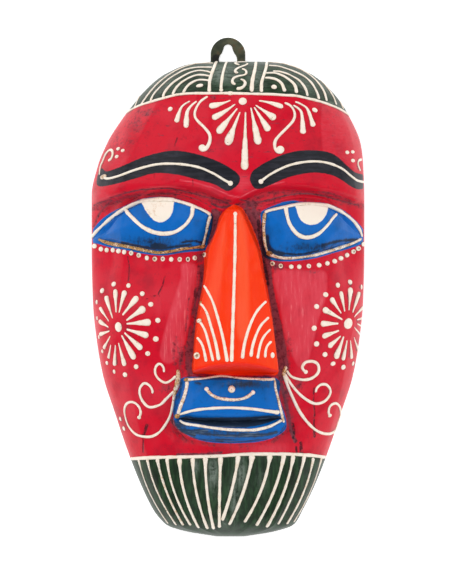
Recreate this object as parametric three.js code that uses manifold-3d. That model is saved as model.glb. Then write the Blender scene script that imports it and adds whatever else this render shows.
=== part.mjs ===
// A carved and painted wooden wall mask: one hollow-backed wooden face, and the iron
// keyhole plate with its two screws that hangs it on a wall.
// It lies on its back. +X is to the viewer's right, +Y towards the crown, +Z out of the
// face, the origin is under the middle of the whole, on the plane of the back. Millimetres.
import * as THREE from "three";
import { mergeVertices } from "three/addons/utils/BufferGeometryUtils.js";
import Module from "manifold-3d";

const wasm = await Module();
wasm.setup();

// The wooden mask
const MASK_LENGTH = 304.6;
const MASK_WIDTH = 175;
const DOME_DEPTH = 60; // of the face without its carving, at the forehead
const SIDE_LAND = 13; // flat back rim beside the hollow
const CROWN_LAND = 42; // solid wood left behind the crown for the hanger
const CHIN_LAND = 24;
const FACE_WALL = 20; // of wood between the plain dome and the hollow

// The carving: how far each feature stands out of the dome, or is cut into it
const BROW_CUT = 8;
const BROW_ROLL = 1.6;
const EYE_RISE = 5.5;
const NOSE_ROOT_RISE = 1.5;
const NOSE_RISE = 23;
const NOSE_EDGE_DROP = 5;
const NOSE_GROOVE = 4;
const LIP_PANEL_RISE = 3;
const LIP_RISE = 8;
const MOUTH_CUT = 6;
const MUZZLE_CUT = 3;
const BEARD_STEP = 1.2;
const CHISEL_EDGE = 2.6; // width of a carved step

// The hanger plate, let in flush with the back
const PLATE_WIDTH = 22.4;
const PLATE_THICKNESS = 1.5;
const PLATE_OVERHANG = 15.4; // how far it stands past the crown
const PLATE_TAIL = 24; // how far it runs down over the wood
const TAIL_WIDTH = 15;
const KEYHOLE_RADIUS = 5.8;
const SLOT_RADIUS = 2.8;
const PLATE_BRIDGE = 4.5; // metal left above the slot
const FIT_GAP = 0.3; // between metal and wood, and between screw and plate

// The two countersunk screws
const SCREW_HEAD_RADIUS = 3.1;
const SCREW_SHANK_RADIUS = 1.5;
const SCREW_LENGTH = 15;
const SCREW_TIP = 3;
const SCREW_SPACING = 8.5;
const SCREW_INSET = 5; // of the lower screw from the tail's end

// The mesh
const FACE_COLUMNS = 52;
const BACK_COLUMNS = 16;
const BACK_ROWS = 20;
const ROUND_SIDES = 20;
const SECTION_POWER = 2.4; // of the superellipse across the face
const END_POWER = 3; // of the superellipse at crown and chin

const HALF_WIDTH = MASK_WIDTH / 2;
const CHIN_Y = -(MASK_LENGTH + PLATE_OVERHANG) / 2;
const CROWN_Y = CHIN_Y + MASK_LENGTH;
const PLATE_TOP_Y = CROWN_Y + PLATE_OVERHANG;

const clamp = (value, low = 0, high = 1) => Math.min(high, Math.max(low, value));
const ease = (from, to, value) => {
  const share = clamp((value - from) / (to - from));
  return share * share * (3 - 2 * share);
};
const bell = (distance, width) => Math.exp(-((distance / width) ** 2));

// A smooth curve through stations [at, value], which never overshoots them.
function curveThrough(stations) {
  const at = stations.map((s) => s[0]);
  const value = stations.map((s) => s[1]);
  const last = at.length - 1;
  const slope = (i) => (value[i + 1] - value[i]) / (at[i + 1] - at[i]);
  const tangent = at.map((_, i) => {
    if (i === 0) return slope(0);
    if (i === last) return slope(last - 1);
    const [before, after] = [slope(i - 1), slope(i)];
    return before * after <= 0 ? 0 : (2 * before * after) / (before + after);
  });
  return (x) => {
    if (x <= at[0]) return value[0];
    if (x >= at[last]) return value[last];
    let i = 0;
    while (x > at[i + 1]) i++;
    const gap = at[i + 1] - at[i];
    const t = (x - at[i]) / gap;
    return (
      value[i] * (1 + 2 * t) * (1 - t) ** 2 +
      tangent[i] * gap * t * (1 - t) ** 2 +
      value[i + 1] * t * t * (3 - 2 * t) +
      tangent[i + 1] * gap * t * t * (t - 1)
    );
  };
}

// The outline. Places on the face are shares: p is x over the half width, and q runs
// from 0 at the chin to 1 at the crown.
const outlineWidth = curveThrough([
  [0, 0.1], [0.0105, 0.322], [0.0231, 0.458], [0.0357, 0.502], [0.0609, 0.557],
  [0.1113, 0.641], [0.187, 0.744], [0.2626, 0.832], [0.338, 0.916], [0.414, 0.963],
  [0.4895, 0.99], [0.603, 1], [0.716, 1], [0.779, 0.974], [0.83, 0.927], [0.88, 0.835],
  [0.918, 0.744], [0.9433, 0.667], [0.9685, 0.564], [0.9811, 0.484], [0.9937, 0.374],
  [1, 0.19],
]);
const outlineMiddle = curveThrough([
  [0, 0.02], [0.0231, 0.015], [0.06, 0], [0.72, 0], [0.779, 0.018], [0.83, 0.044],
  [0.88, 0.062], [0.918, 0.073], [1, 0.075],
]);

// Depth of the plain dome along the middle line, as a share of DOME_DEPTH.
const domeDepth = curveThrough([
  [0, 0.72], [0.12, 0.76], [0.26, 0.85], [0.45, 0.93], [0.6, 0.97], [0.75, 1], [1, 0.97],
]);
const CROWN_BEND = 0.716; // where the forehead starts to round off
const CHIN_BEND = 0.2;

function middleDepth(q) {
  const over = clamp((q - CROWN_BEND) / (1 - CROWN_BEND));
  const under = clamp((CHIN_BEND - q) / CHIN_BEND);
  const end = (t) => (1 - t ** END_POWER) ** (1 / END_POWER);
  return DOME_DEPTH * domeDepth(q) * end(over) * end(under);
}

// The brow is a gull-wing line, and the lids run between the eyes' corners.
const BROW_MIDDLE = 0.03;
const browLine = (p) =>
  0.732 -
  0.03 * bell(p - BROW_MIDDLE, 0.17) -
  0.033 * Math.max(0, (Math.abs(p - BROW_MIDDLE) - 0.5) / 0.5) ** 1.5;
const upperLid = curveThrough([
  [-1, 0.626], [-0.84, 0.673], [-0.64, 0.705], [-0.5, 0.713], [-0.3, 0.702],
  [-0.12, 0.677], [0.05, 0.672], [0.26, 0.683], [0.4, 0.693], [0.56, 0.7],
  [0.72, 0.697], [0.83, 0.683], [0.93, 0.659], [1, 0.63],
]);
const lowerLid = curveThrough([
  [-1, 0.62], [-0.95, 0.624], [-0.71, 0.61], [-0.47, 0.599], [-0.37, 0.601],
  [-0.19, 0.609], [0.05, 0.6], [0.3, 0.5895], [0.45, 0.586], [0.54, 0.588],
  [0.65, 0.593], [0.76, 0.603], [0.87, 0.613], [1, 0.622],
]);
const leftEyeInnerCorner = (q) => -0.19 + (q - 0.609);
const rightEyeInnerCorner = (q) => 0.3 - 0.4 * (q - 0.59);

// The nose: its middle line, half width and the places of its ends.
const NOSE_ROOT = 0.7;
const NOSE_TIP = 0.374;
const NOSE_BASE = 0.346;
const noseMiddle = curveThrough([
  [NOSE_BASE, 0.051], [0.55, 0.045], [0.62, 0.037], [0.68, 0.037], [NOSE_ROOT, 0.022],
]);
const noseHalfWidth = curveThrough([
  [NOSE_BASE, 0.304], [0.4, 0.29], [0.456, 0.27], [0.517, 0.237], [0.576, 0.208],
  [0.624, 0.19], [0.651, 0.138], [0.676, 0.086], [NOSE_ROOT, 0.02],
]);
const tipArc = (p) => 0.02 * ((p - 0.051) / 0.3) ** 2; // the lower edge bows down

// The mouth: a panel under the nose, two lips and the slit between them.
const LIP_PANEL_TOP = 0.334;
const UPPER_LIP = 0.262;
const MOUTH_LINE = 0.2435;
const LOWER_LIP = 0.226;
const LIP_CREASE = 0.2;
const mouthHalfWidth = curveThrough([
  [LIP_CREASE, 0.3], [LOWER_LIP, 0.37], [MOUTH_LINE, 0.405], [0.28, 0.37],
  [LIP_PANEL_TOP, 0.33],
]);
const MOUTH_MIDDLE = 0.012;
const MOUTH_BOW = 0.012; // the lips' corners ride up by this much
const lipBow = (p) => MOUTH_BOW * clamp(Math.abs(p - MOUTH_MIDDLE) / 0.4) ** 2;
const BEARD_TOP = 0.165;

const browCarving = (p, q) => {
  const above = (q - browLine(p)) * MASK_LENGTH;
  const cheekReturn = ease(0.45, 0.6, q);
  const cut = BROW_CUT * ease(CHISEL_EDGE, -CHISEL_EDGE, above) * cheekReturn;
  return BROW_ROLL * bell(above - 2 * CHISEL_EDGE, 5) - cut;
};

const eyeCarving = (p, q) => {
  const side =
    p < BROW_MIDDLE ? leftEyeInnerCorner(q) - p : p - rightEyeInnerCorner(q);
  const toLids = Math.min(upperLid(p) - q, q - lowerLid(p)) * MASK_LENGTH;
  const toCorner = side * HALF_WIDTH;
  const lidStep = ease(-0.4 * CHISEL_EDGE, 0.6 * CHISEL_EDGE, toLids);
  const cornerStep = ease(-0.6 * CHISEL_EDGE, 1.6 * CHISEL_EDGE, toCorner);
  const swell = 0.55 + 0.45 * ease(0, 13, Math.min(toLids, toCorner));
  return EYE_RISE * lidStep * cornerStep * swell;
};

const noseCarving = (p, q) => {
  const across = Math.abs(p - noseMiddle(q)) / noseHalfWidth(q);
  const outside = (across - 1) * noseHalfWidth(q) * HALF_WIDTH;
  const down = clamp((NOSE_ROOT - q) / (NOSE_ROOT - NOSE_TIP));
  const ridge = NOSE_ROOT_RISE + (NOSE_RISE - NOSE_ROOT_RISE) * down ** 0.8;
  const tip = NOSE_TIP - tipArc(p);
  const underside = ease(NOSE_BASE - 0.004, tip, q);
  const wedge =
    ridge * underside - NOSE_EDGE_DROP * down * Math.min(across, 1) ** 1.6 * underside;
  const body =
    ease(0.6 * CHISEL_EDGE, -0.6 * CHISEL_EDGE, outside) * ease(0.712, 0.695, q);
  const beside = bell(Math.max(outside, 0), 8) * (1 - body);
  const grooved = ease(0.32, 0.37, q) * ease(0.7, 0.64, q);
  return wedge * body - NOSE_GROOVE * beside * grooved;
};

const mouthCarving = (p, q) => {
  const across = (p - MOUTH_MIDDLE) / mouthHalfWidth(q);
  const bowed = q - lipBow(p) * ease(0.31, 0.26, q);
  const outside = (Math.abs(across) - 1) * mouthHalfWidth(q) * HALF_WIDTH;
  const block =
    ease(0.7 * CHISEL_EDGE, -0.7 * CHISEL_EDGE, outside) *
    ease(LIP_CREASE - 0.014, LIP_CREASE + 0.006, bowed) *
    ease(LIP_PANEL_TOP + 0.006, LIP_PANEL_TOP - 0.004, q);
  const panel =
    LIP_PANEL_RISE + (LIP_RISE - LIP_PANEL_RISE) * ease(LIP_PANEL_TOP, UPPER_LIP, q);
  const lower = LIP_RISE * bell(bowed - LOWER_LIP, 0.022);
  const profile = bowed > MOUTH_LINE ? panel : Math.min(panel, lower + 1);
  const slit =
    MOUTH_CUT * bell(bowed - MOUTH_LINE, 0.0085) * ease(1.02, 0.7, Math.abs(across));
  const around =
    MUZZLE_CUT * bell(Math.max(outside, 0), 9) * ease(0.18, 0.23, q) * ease(0.36, 0.32, q);
  return block * (profile - slit) - around * (1 - block);
};

const beardCarving = (p, q) =>
  BEARD_STEP * ease(BEARD_TOP + 0.004, BEARD_TOP - 0.004, q) +
  1.5 * bell(p + 0.03, 0.1) * ease(0.2, 0.1, q);

const END_FADE = 0.05; // the carving dies out towards crown and chin
const carving = (p, q) =>
  ease(0, END_FADE, q) *
  ease(1, 1 - END_FADE, q) *
  (browCarving(p, q) +
    eyeCarving(p, q) +
    noseCarving(p, q) +
    mouthCarving(p, q) +
    beardCarving(p, q));

// Signed fullness of the plain dome: 0 on its surface. Its gradient is the normal.
function fullness(x, y, z) {
  const q = clamp((y - CHIN_Y) / MASK_LENGTH, 0.0005, 0.9995);
  const across = (x / HALF_WIDTH - outlineMiddle(q)) / outlineWidth(q);
  const out = z / middleDepth(q);
  return Math.abs(across) ** SECTION_POWER + Math.abs(out) ** SECTION_POWER - 1;
}

function domeNormal(point) {
  const step = 0.05;
  const slope = (dx, dy, dz) =>
    fullness(point.x + dx, point.y + dy, point.z + dz) -
    fullness(point.x - dx, point.y - dy, point.z - dz);
  return new THREE.Vector3(
    slope(step, 0, 0),
    slope(0, step, 0),
    slope(0, 0, step),
  ).normalize();
}

// A point of the carved face, from its share across (-1 to 1) and its height q.
const CARVED_ABOVE = [8, 30]; // the sides are plain up to here, so the outline stays
function facePoint(across, q) {
  const p = outlineMiddle(q) + across * outlineWidth(q);
  const rise = (1 - Math.abs(across) ** SECTION_POWER) ** (1 / SECTION_POWER);
  const point = new THREE.Vector3(
    p * HALF_WIDTH,
    CHIN_Y + q * MASK_LENGTH,
    middleDepth(q) * rise,
  );
  const clearOfRim = ease(...CARVED_ABOVE, point.z);
  if (clearOfRim === 0) return point;
  return point.addScaledVector(domeNormal(point), carving(p, q) * clearOfRim);
}

// Rows of the grid bunch at the carved lines, which they follow across the face.
const rowGuides = [
  { line: () => 0, rows: 0 },
  { line: () => END_FADE, rows: 5 },
  { line: () => LIP_CREASE - 0.004, rows: 7 },
  { line: (p) => MOUTH_LINE + lipBow(p), rows: 7 },
  { line: () => LIP_PANEL_TOP, rows: 6 },
  { line: () => NOSE_BASE, rows: 1 },
  { line: (p) => NOSE_TIP - tipArc(clamp(p, -0.25, 0.35)), rows: 3 },
  { line: lowerLid, rows: 9 },
  { line: upperLid, rows: 6 },
  { line: browLine, rows: 5 },
  { line: () => 1 - END_FADE, rows: 11 },
  { line: () => 1, rows: 6 },
];
const FACE_ROWS = rowGuides.reduce((sum, guide) => sum + guide.rows, 0);
const BUNCHING = 0.5;

function rowHeight(row, p) {
  let first = 0;
  let guide = 1;
  while (row > first + rowGuides[guide].rows) first += rowGuides[guide++].rows;
  const share = (row - first) / rowGuides[guide].rows;
  const low = rowGuides[guide - 1].line(p);
  const high = rowGuides[guide].line(p);
  if (guide === 1) return high * (1 - Math.cos((share * Math.PI) / 2));
  if (guide === rowGuides.length - 1)
    return low + (high - low) * Math.sin((share * Math.PI) / 2);
  const bunched = share - (BUNCHING * Math.sin(2 * Math.PI * share)) / (2 * Math.PI);
  return low + (high - low) * bunched;
}

// Columns follow the edges of the nose and the mouth, and close up towards the rim.
const featureHalfWidth = curveThrough([
  [0, 0.26], [LIP_CREASE, 0.31], [LOWER_LIP, 0.37], [MOUTH_LINE, 0.405], [0.28, 0.37],
  [LIP_PANEL_TOP, 0.33], [NOSE_BASE, 0.304], [0.456, 0.27], [0.576, 0.208],
  [0.64, 0.17], [0.7, 0.18], [0.8, 0.22], [1, 0.3],
]);
const featureMiddle = curveThrough([
  [0, MOUTH_MIDDLE], [LIP_PANEL_TOP, MOUTH_MIDDLE], [NOSE_BASE, 0.051], [0.55, 0.045],
  [NOSE_ROOT, BROW_MIDDLE], [1, 0.06],
]);
const INNER_COLUMNS = 16;
const EDGE_COLUMNS = (FACE_COLUMNS - INNER_COLUMNS) / 2;

function columnAcross(column, q) {
  const middle = (featureMiddle(q) - outlineMiddle(q)) / outlineWidth(q);
  const edge = Math.min(featureHalfWidth(q) / outlineWidth(q), 0.55);
  const fromMiddle = column - FACE_COLUMNS / 2;
  const side = Math.sign(fromMiddle);
  const count = Math.abs(fromMiddle);
  if (count <= INNER_COLUMNS / 2) {
    const share = count / (INNER_COLUMNS / 2);
    const bunched = share + (0.35 * Math.sin(Math.PI * share)) / Math.PI;
    return middle + side * edge * bunched;
  }
  const share = (count - INNER_COLUMNS / 2) / EDGE_COLUMNS;
  const start = middle + side * edge;
  const turned = Math.sin((share * Math.PI) / 2);
  const eased = 0.25 * share + 0.75 * turned;
  return start + (side - start) * eased;
}

function faceGridPoint(column, row) {
  let p = 0;
  let q = 0;
  let across = 0;
  for (let pass = 0; pass < 6; pass++) {
    q = row === 0 ? 0 : row === FACE_ROWS ? 1 : rowHeight(row, p);
    across = columnAcross(column, q);
    p = outlineMiddle(q) + across * outlineWidth(q);
  }
  const point = facePoint(clamp(across, -1, 1), q);
  const onRim =
    column === 0 || column === FACE_COLUMNS || row === 0 || row === FACE_ROWS;
  if (onRim) point.z = 0;
  return point;
}

// A closed solid from a grid of points whose border lies flat, on the back plane.
function solidFromGrid(columns, rows, pointAt) {
  const index = (column, row) => row * (columns + 1) + column;
  const points = [];
  for (let row = 0; row <= rows; row++)
    for (let column = 0; column <= columns; column++)
      points.push(pointAt(column, row));
  const faces = [];
  for (let row = 0; row < rows; row++)
    for (let column = 0; column < columns; column++) {
      const a = index(column, row);
      const b = index(column + 1, row);
      const c = index(column + 1, row + 1);
      const d = index(column, row + 1);
      const even =
        points[a].distanceTo(points[c]) <= points[b].distanceTo(points[d]);
      faces.push(...(even ? [a, b, c, a, c, d] : [a, b, d, b, c, d]));
    }
  const border = [];
  for (let column = 0; column < columns; column++) border.push(index(column, 0));
  for (let row = 0; row < rows; row++) border.push(index(columns, row));
  for (let column = columns; column > 0; column--) border.push(index(column, rows));
  for (let row = rows; row > 0; row--) border.push(index(0, row));
  const flat = border.map((i) => new THREE.Vector2(points[i].x, points[i].y));
  for (const [a, b, c] of THREE.ShapeUtils.triangulateShape(flat, []))
    faces.push(border[c], border[b], border[a]);
  return new wasm.Manifold(
    new wasm.Mesh({
      numProp: 3,
      vertProperties: new Float32Array(points.flatMap((v) => v.toArray())),
      triVerts: new Uint32Array(faces),
    }),
  );
}

function solidFromGeometry(geometry) {
  const bare = geometry.clone();
  bare.deleteAttribute("normal");
  bare.deleteAttribute("uv");
  const merged = mergeVertices(bare, 1e-4);
  return new wasm.Manifold(
    new wasm.Mesh({
      numProp: 3,
      vertProperties: merged.getAttribute("position").array,
      triVerts: new Uint32Array(merged.index.array),
    }),
  );
}

function geometryFromSolid(solid) {
  const mesh = solid.getMesh();
  const geometry = new THREE.BufferGeometry();
  geometry.setAttribute("position", new THREE.BufferAttribute(mesh.vertProperties, 3));
  geometry.setIndex(new THREE.BufferAttribute(mesh.triVerts, 1));
  return geometry;
}

// The hollow is a plain dome of its own, cut a little below the back plane too.
const CUT_MARGIN = 1;

function hollowSolid() {
  const low = CHIN_Y + CHIN_LAND;
  const high = CROWN_Y - CROWN_LAND;
  const end = (t) => Math.sqrt(Math.max(0, 1 - t ** 4));
  const pointAt = (column, row) => {
    const along = -Math.cos((row / BACK_ROWS) * Math.PI);
    const angle = (column / BACK_COLUMNS - 0.5) * Math.PI;
    const y = (low + high) / 2 + ((high - low) / 2) * along;
    const q = (y - CHIN_Y) / MASK_LENGTH;
    const round = Math.max(end(along), 0.12);
    const half = (outlineWidth(q) * HALF_WIDTH - SIDE_LAND) * round;
    const onRim =
      column === 0 || column === BACK_COLUMNS || row === 0 || row === BACK_ROWS;
    const depth = (middleDepth(q) - FACE_WALL + CUT_MARGIN) * end(along);
    const bulge = onRim ? 0 : Math.cos(angle) ** 0.8;
    return new THREE.Vector3(
      outlineMiddle(q) * HALF_WIDTH + half * Math.sin(angle),
      y,
      depth * bulge - CUT_MARGIN,
    );
  };
  return solidFromGrid(BACK_COLUMNS, BACK_ROWS, pointAt);
}

// The hanger plate: a round head past the crown, and a narrower tail over the wood.
const HEAD_RADIUS = PLATE_WIDTH / 2;
const HEAD_Y = PLATE_TOP_Y - HEAD_RADIUS;
const HEAD_FOOT_Y = CROWN_Y - HEAD_RADIUS / 2; // where the head's sides turn in
const TAIL_Y = CROWN_Y - PLATE_TAIL;
const KEYHOLE_Y = CROWN_Y + 1;
const SLOT_Y = PLATE_TOP_Y - PLATE_BRIDGE - SLOT_RADIUS;
const SCREW_YS = [TAIL_Y + SCREW_INSET, TAIL_Y + SCREW_INSET + SCREW_SPACING];

function plateOutline(gap) {
  const shape = new THREE.Shape();
  const half = HEAD_RADIUS + gap;
  const tail = TAIL_WIDTH / 2 + gap;
  const corner = tail * 0.6;
  const end = TAIL_Y - gap;
  const waist = HEAD_FOOT_Y - 1.6 * corner;
  shape.absarc(0, HEAD_Y, half, 0, Math.PI, false);
  shape.lineTo(-half, HEAD_FOOT_Y);
  shape.quadraticCurveTo(-half, HEAD_FOOT_Y - corner, -tail, waist);
  shape.lineTo(-tail, end + corner);
  shape.quadraticCurveTo(-tail, end, corner - tail, end);
  shape.lineTo(tail - corner, end);
  shape.quadraticCurveTo(tail, end, tail, end + corner);
  shape.lineTo(tail, waist);
  shape.quadraticCurveTo(half, HEAD_FOOT_Y - corner, half, HEAD_FOOT_Y);
  return shape;
}

// The keyhole: a round hole that a nail's head passes, and a slot that it drops into.
function keyhole() {
  const neck = Math.asin(SLOT_RADIUS / KEYHOLE_RADIUS) + 0.25;
  const [left, right] = [Math.PI / 2 + neck, Math.PI / 2 - neck];
  const path = new THREE.Path();
  path.absarc(0, KEYHOLE_Y, KEYHOLE_RADIUS, left, right, false);
  path.lineTo(SLOT_RADIUS, SLOT_Y);
  path.absarc(0, SLOT_Y, SLOT_RADIUS, 0, Math.PI, false);
  path.closePath();
  return path;
}

function screwGeometry(gap) {
  const head = SCREW_HEAD_RADIUS + gap;
  const shank = SCREW_SHANK_RADIUS + gap;
  const length = SCREW_LENGTH + gap;
  const headDepth = SCREW_HEAD_RADIUS - SCREW_SHANK_RADIUS;
  const profile = [
    new THREE.Vector2(0, length),
    new THREE.Vector2(shank, length - SCREW_TIP),
    new THREE.Vector2(shank, headDepth + gap),
    new THREE.Vector2(head, gap),
    new THREE.Vector2(head, gap > 0 ? -CUT_MARGIN : 0),
    new THREE.Vector2(0, gap > 0 ? -CUT_MARGIN : 0),
  ];
  return new THREE.LatheGeometry(profile.reverse(), ROUND_SIDES).rotateX(Math.PI / 2);
}

function screwCutter(y) {
  return solidFromGeometry(screwGeometry(FIT_GAP).translate(0, y, 0));
}

function plateSolid() {
  const shape = plateOutline(0);
  shape.holes.push(keyhole());
  const geometry = new THREE.ExtrudeGeometry(shape, {
    depth: PLATE_THICKNESS,
    bevelEnabled: false,
    curveSegments: ROUND_SIDES / 2,
  });
  return SCREW_YS.reduce(
    (plate, y) => plate.subtract(screwCutter(y)),
    solidFromGeometry(geometry),
  );
}

function plateRecess() {
  const geometry = new THREE.ExtrudeGeometry(plateOutline(FIT_GAP), {
    depth: PLATE_THICKNESS + FIT_GAP + CUT_MARGIN,
    bevelEnabled: false,
    curveSegments: ROUND_SIDES / 2,
  });
  return solidFromGeometry(geometry.translate(0, 0, -CUT_MARGIN));
}

function maskSolid() {
  const face = solidFromGrid(FACE_COLUMNS, FACE_ROWS, faceGridPoint);
  const opened = face.subtract(hollowSolid()).subtract(plateRecess());
  return SCREW_YS.reduce((wood, y) => wood.subtract(screwCutter(y)), opened);
}

const material = (color, roughness, metalness) =>
  new THREE.MeshStandardMaterial({ color, roughness, metalness });
const paintedWood = material(0xb8202c, 0.4, 0);
const paintedIron = material(0x3b3d2e, 0.5, 0.6);
const screwSteel = material(0x6b6a66, 0.45, 0.9);

function named(name, geometry, finish) {
  const mesh = new THREE.Mesh(geometry, finish);
  mesh.name = name;
  return mesh;
}

const mask = new THREE.Group();
mask.add(named("wooden_mask", geometryFromSolid(maskSolid()), paintedWood));
mask.add(named("hanger_plate", geometryFromSolid(plateSolid()), paintedIron));
SCREW_YS.forEach((y, i) => {
  const screw = named(`hanger_screw_${i + 1}`, screwGeometry(0), screwSteel);
  screw.position.set(0, y, 0);
  mask.add(screw);
});

export default mask;
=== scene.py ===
"""A carved and painted wooden wall mask, lying face up.

The wood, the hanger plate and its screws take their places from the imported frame. Metres,
+X to the viewer's right, +Y towards the crown, +Z out of the face.
"""

import math

import bmesh
import bpy
import numpy as np
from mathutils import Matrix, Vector, kdtree


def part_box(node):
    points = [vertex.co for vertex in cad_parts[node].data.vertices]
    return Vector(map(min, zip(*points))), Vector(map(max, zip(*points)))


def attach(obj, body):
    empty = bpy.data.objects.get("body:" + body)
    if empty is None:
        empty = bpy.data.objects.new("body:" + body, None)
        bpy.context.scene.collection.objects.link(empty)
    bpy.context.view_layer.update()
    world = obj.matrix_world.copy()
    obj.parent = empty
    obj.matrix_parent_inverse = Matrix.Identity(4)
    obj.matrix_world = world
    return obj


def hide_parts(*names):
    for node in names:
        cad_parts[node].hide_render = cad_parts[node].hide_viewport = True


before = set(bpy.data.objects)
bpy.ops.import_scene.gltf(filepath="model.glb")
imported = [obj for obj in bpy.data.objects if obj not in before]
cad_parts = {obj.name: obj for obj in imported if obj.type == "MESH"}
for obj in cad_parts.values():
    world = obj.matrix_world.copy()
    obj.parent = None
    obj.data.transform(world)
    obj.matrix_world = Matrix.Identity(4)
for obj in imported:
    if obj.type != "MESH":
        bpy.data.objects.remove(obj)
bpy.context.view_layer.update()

# Places and sizes that come from the frame
wood_low, wood_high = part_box("wooden_mask")
plate_low, plate_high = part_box("hanger_plate")
MASK_LENGTH = wood_high.y - wood_low.y
HALF_WIDTH = (wood_high.x - wood_low.x) / 2
CHIN_Y = wood_low.y
CROWN_Y = wood_high.y

# The plain dome under the carving
DOME_DEPTH = 0.060
SECTION_POWER = 2.4
END_POWER = 3
CROWN_BEND = 0.716
CHIN_BEND = 0.2

# How far each feature stands out of the dome or is cut into it
BROW_CUT = 0.008
BROW_ROLL = 0.0016
EYE_RISE = 0.0055
NOSE_ROOT_RISE = 0.0015
NOSE_RISE = 0.023
NOSE_EDGE_DROP = 0.005
NOSE_GROOVE = 0.004
LIP_PANEL_RISE = 0.003
LIP_RISE = 0.008
MOUTH_CUT = 0.006
MUZZLE_CUT = 0.003
BEARD_STEP = 0.0012
CHISEL_EDGE = 0.0026

# The photograph's frame: a pixel of it, and where the mask's middle and chin are in it
PHOTO_WIDTH = 452
PHOTO_HEIGHT = 584
PHOTO_MIDDLE = 228
PHOTO_CHIN = 537
PIXEL = MASK_LENGTH / 476


def from_photo(points):
    """Places on the plane of the back, from places in the photograph."""
    px = np.asarray(points, float)
    return np.column_stack(
        [(px[:, 0] - PHOTO_MIDDLE) * PIXEL, CHIN_Y + (PHOTO_CHIN - px[:, 1]) * PIXEL]
    )


def ease(start, end, value):
    share = np.clip((value - start) / (end - start), 0, 1)
    return share * share * (3 - 2 * share)


def bell(distance, width):
    return np.exp(-((distance / width) ** 2))


def curve_through(*stations):
    """A smooth curve through (at, value) stations, which never overshoots them."""
    at = np.array([s[0] for s in stations], float)
    value = np.array([s[1] for s in stations], float)
    slope = np.diff(value) / np.diff(at)
    before, after = slope[:-1], slope[1:]
    total = np.where(before * after > 0, before + after, 1)
    inner = np.where(before * after > 0, 2 * before * after / total, 0)
    tangent = np.concatenate([slope[:1], inner, slope[-1:]])

    def curve(x):
        x = np.clip(x, at[0], at[-1])
        i = np.clip(np.searchsorted(at, x, side="right") - 1, 0, len(at) - 2)
        gap = at[i + 1] - at[i]
        t = (x - at[i]) / gap
        return (
            value[i] * (1 + 2 * t) * (1 - t) ** 2
            + tangent[i] * gap * t * (1 - t) ** 2
            + value[i + 1] * t * t * (3 - 2 * t)
            + tangent[i + 1] * gap * t * t * (t - 1)
        )

    return curve


# The outline and the depth. Places on the face are shares: p is x over the half width,
# and q runs from 0 at the chin to 1 at the crown.
outline_width = curve_through(
    (0, 0.1), (0.0105, 0.322), (0.0231, 0.458), (0.0357, 0.502), (0.0609, 0.557),
    (0.1113, 0.641), (0.187, 0.744), (0.2626, 0.832), (0.338, 0.916), (0.414, 0.963),
    (0.4895, 0.99), (0.603, 1), (0.716, 1), (0.779, 0.974), (0.83, 0.927), (0.88, 0.835),
    (0.918, 0.744), (0.9433, 0.667), (0.9685, 0.564), (0.9811, 0.484), (0.9937, 0.374),
    (1, 0.19),
)
outline_middle = curve_through(
    (0, 0.02), (0.0231, 0.015), (0.06, 0), (0.72, 0), (0.779, 0.018), (0.83, 0.044),
    (0.88, 0.062), (0.918, 0.073), (1, 0.075),
)
dome_depth = curve_through(
    (0, 0.72), (0.12, 0.76), (0.26, 0.85), (0.45, 0.93), (0.6, 0.97), (0.75, 1), (1, 0.97)
)


def middle_depth(q):
    over = np.clip((q - CROWN_BEND) / (1 - CROWN_BEND), 0, 1)
    under = np.clip((CHIN_BEND - q) / CHIN_BEND, 0, 1)
    ends = ((1 - over**END_POWER) * (1 - under**END_POWER)) ** (1 / END_POWER)
    return DOME_DEPTH * dome_depth(q) * ends


# The lines that the carving follows
BROW_MIDDLE = 0.03
BROW_HEIGHT = 0.732
FROWN_DIP = 0.03
FROWN_WIDTH = 0.17
BROW_FALL = 0.033
LEFT_CORNER = (-0.19, 0.609)
RIGHT_CORNER = (0.3, 0.59)
RIGHT_CORNER_LEAN = 0.4
upper_lid = curve_through(
    (-1, 0.626), (-0.84, 0.673), (-0.64, 0.705), (-0.5, 0.713), (-0.3, 0.702),
    (-0.12, 0.677), (0.05, 0.672), (0.26, 0.683), (0.4, 0.693), (0.56, 0.7),
    (0.72, 0.697), (0.83, 0.683), (0.93, 0.659), (1, 0.63),
)
lower_lid = curve_through(
    (-1, 0.62), (-0.95, 0.624), (-0.71, 0.61), (-0.47, 0.599), (-0.37, 0.601),
    (-0.19, 0.609), (0.05, 0.6), (0.3, 0.5895), (0.45, 0.586), (0.54, 0.588),
    (0.65, 0.593), (0.76, 0.603), (0.87, 0.613), (1, 0.622),
)
NOSE_ROOT = 0.7
NOSE_TIP = 0.374
NOSE_BASE = 0.346
NOSE_BASE_MIDDLE = 0.051
NOSE_BASE_WIDTH = 0.3
NOSE_TIP_ARC = 0.02
nose_middle = curve_through(
    (NOSE_BASE, NOSE_BASE_MIDDLE), (0.55, 0.045), (0.62, 0.037), (0.68, 0.037), (NOSE_ROOT, 0.022)
)
nose_half_width = curve_through(
    (NOSE_BASE, NOSE_BASE_WIDTH), (0.4, 0.286), (0.456, 0.266), (0.517, 0.233), (0.576, 0.204),
    (0.6, 0.192), (0.624, 0.162), (0.651, 0.124), (0.676, 0.084), (NOSE_ROOT, 0.02),
)
LIP_PANEL_TOP = 0.334
UPPER_LIP = 0.262
MOUTH_LINE = 0.2435
LOWER_LIP = 0.226
LIP_CREASE = 0.2
MOUTH_MIDDLE = 0.012
MOUTH_BOW = 0.012
BEARD_TOP = 0.165
END_FADE = 0.05
mouth_half_width = curve_through(
    (LIP_CREASE, 0.3), (LOWER_LIP, 0.37), (MOUTH_LINE, 0.405), (0.28, 0.37),
    (LIP_PANEL_TOP, 0.33),
)


def brow_line(p):
    fall = (np.maximum(0, np.abs(p - BROW_MIDDLE) - 0.5) / 0.5) ** 1.5
    return BROW_HEIGHT - FROWN_DIP * bell(p - BROW_MIDDLE, FROWN_WIDTH) - BROW_FALL * fall


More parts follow.
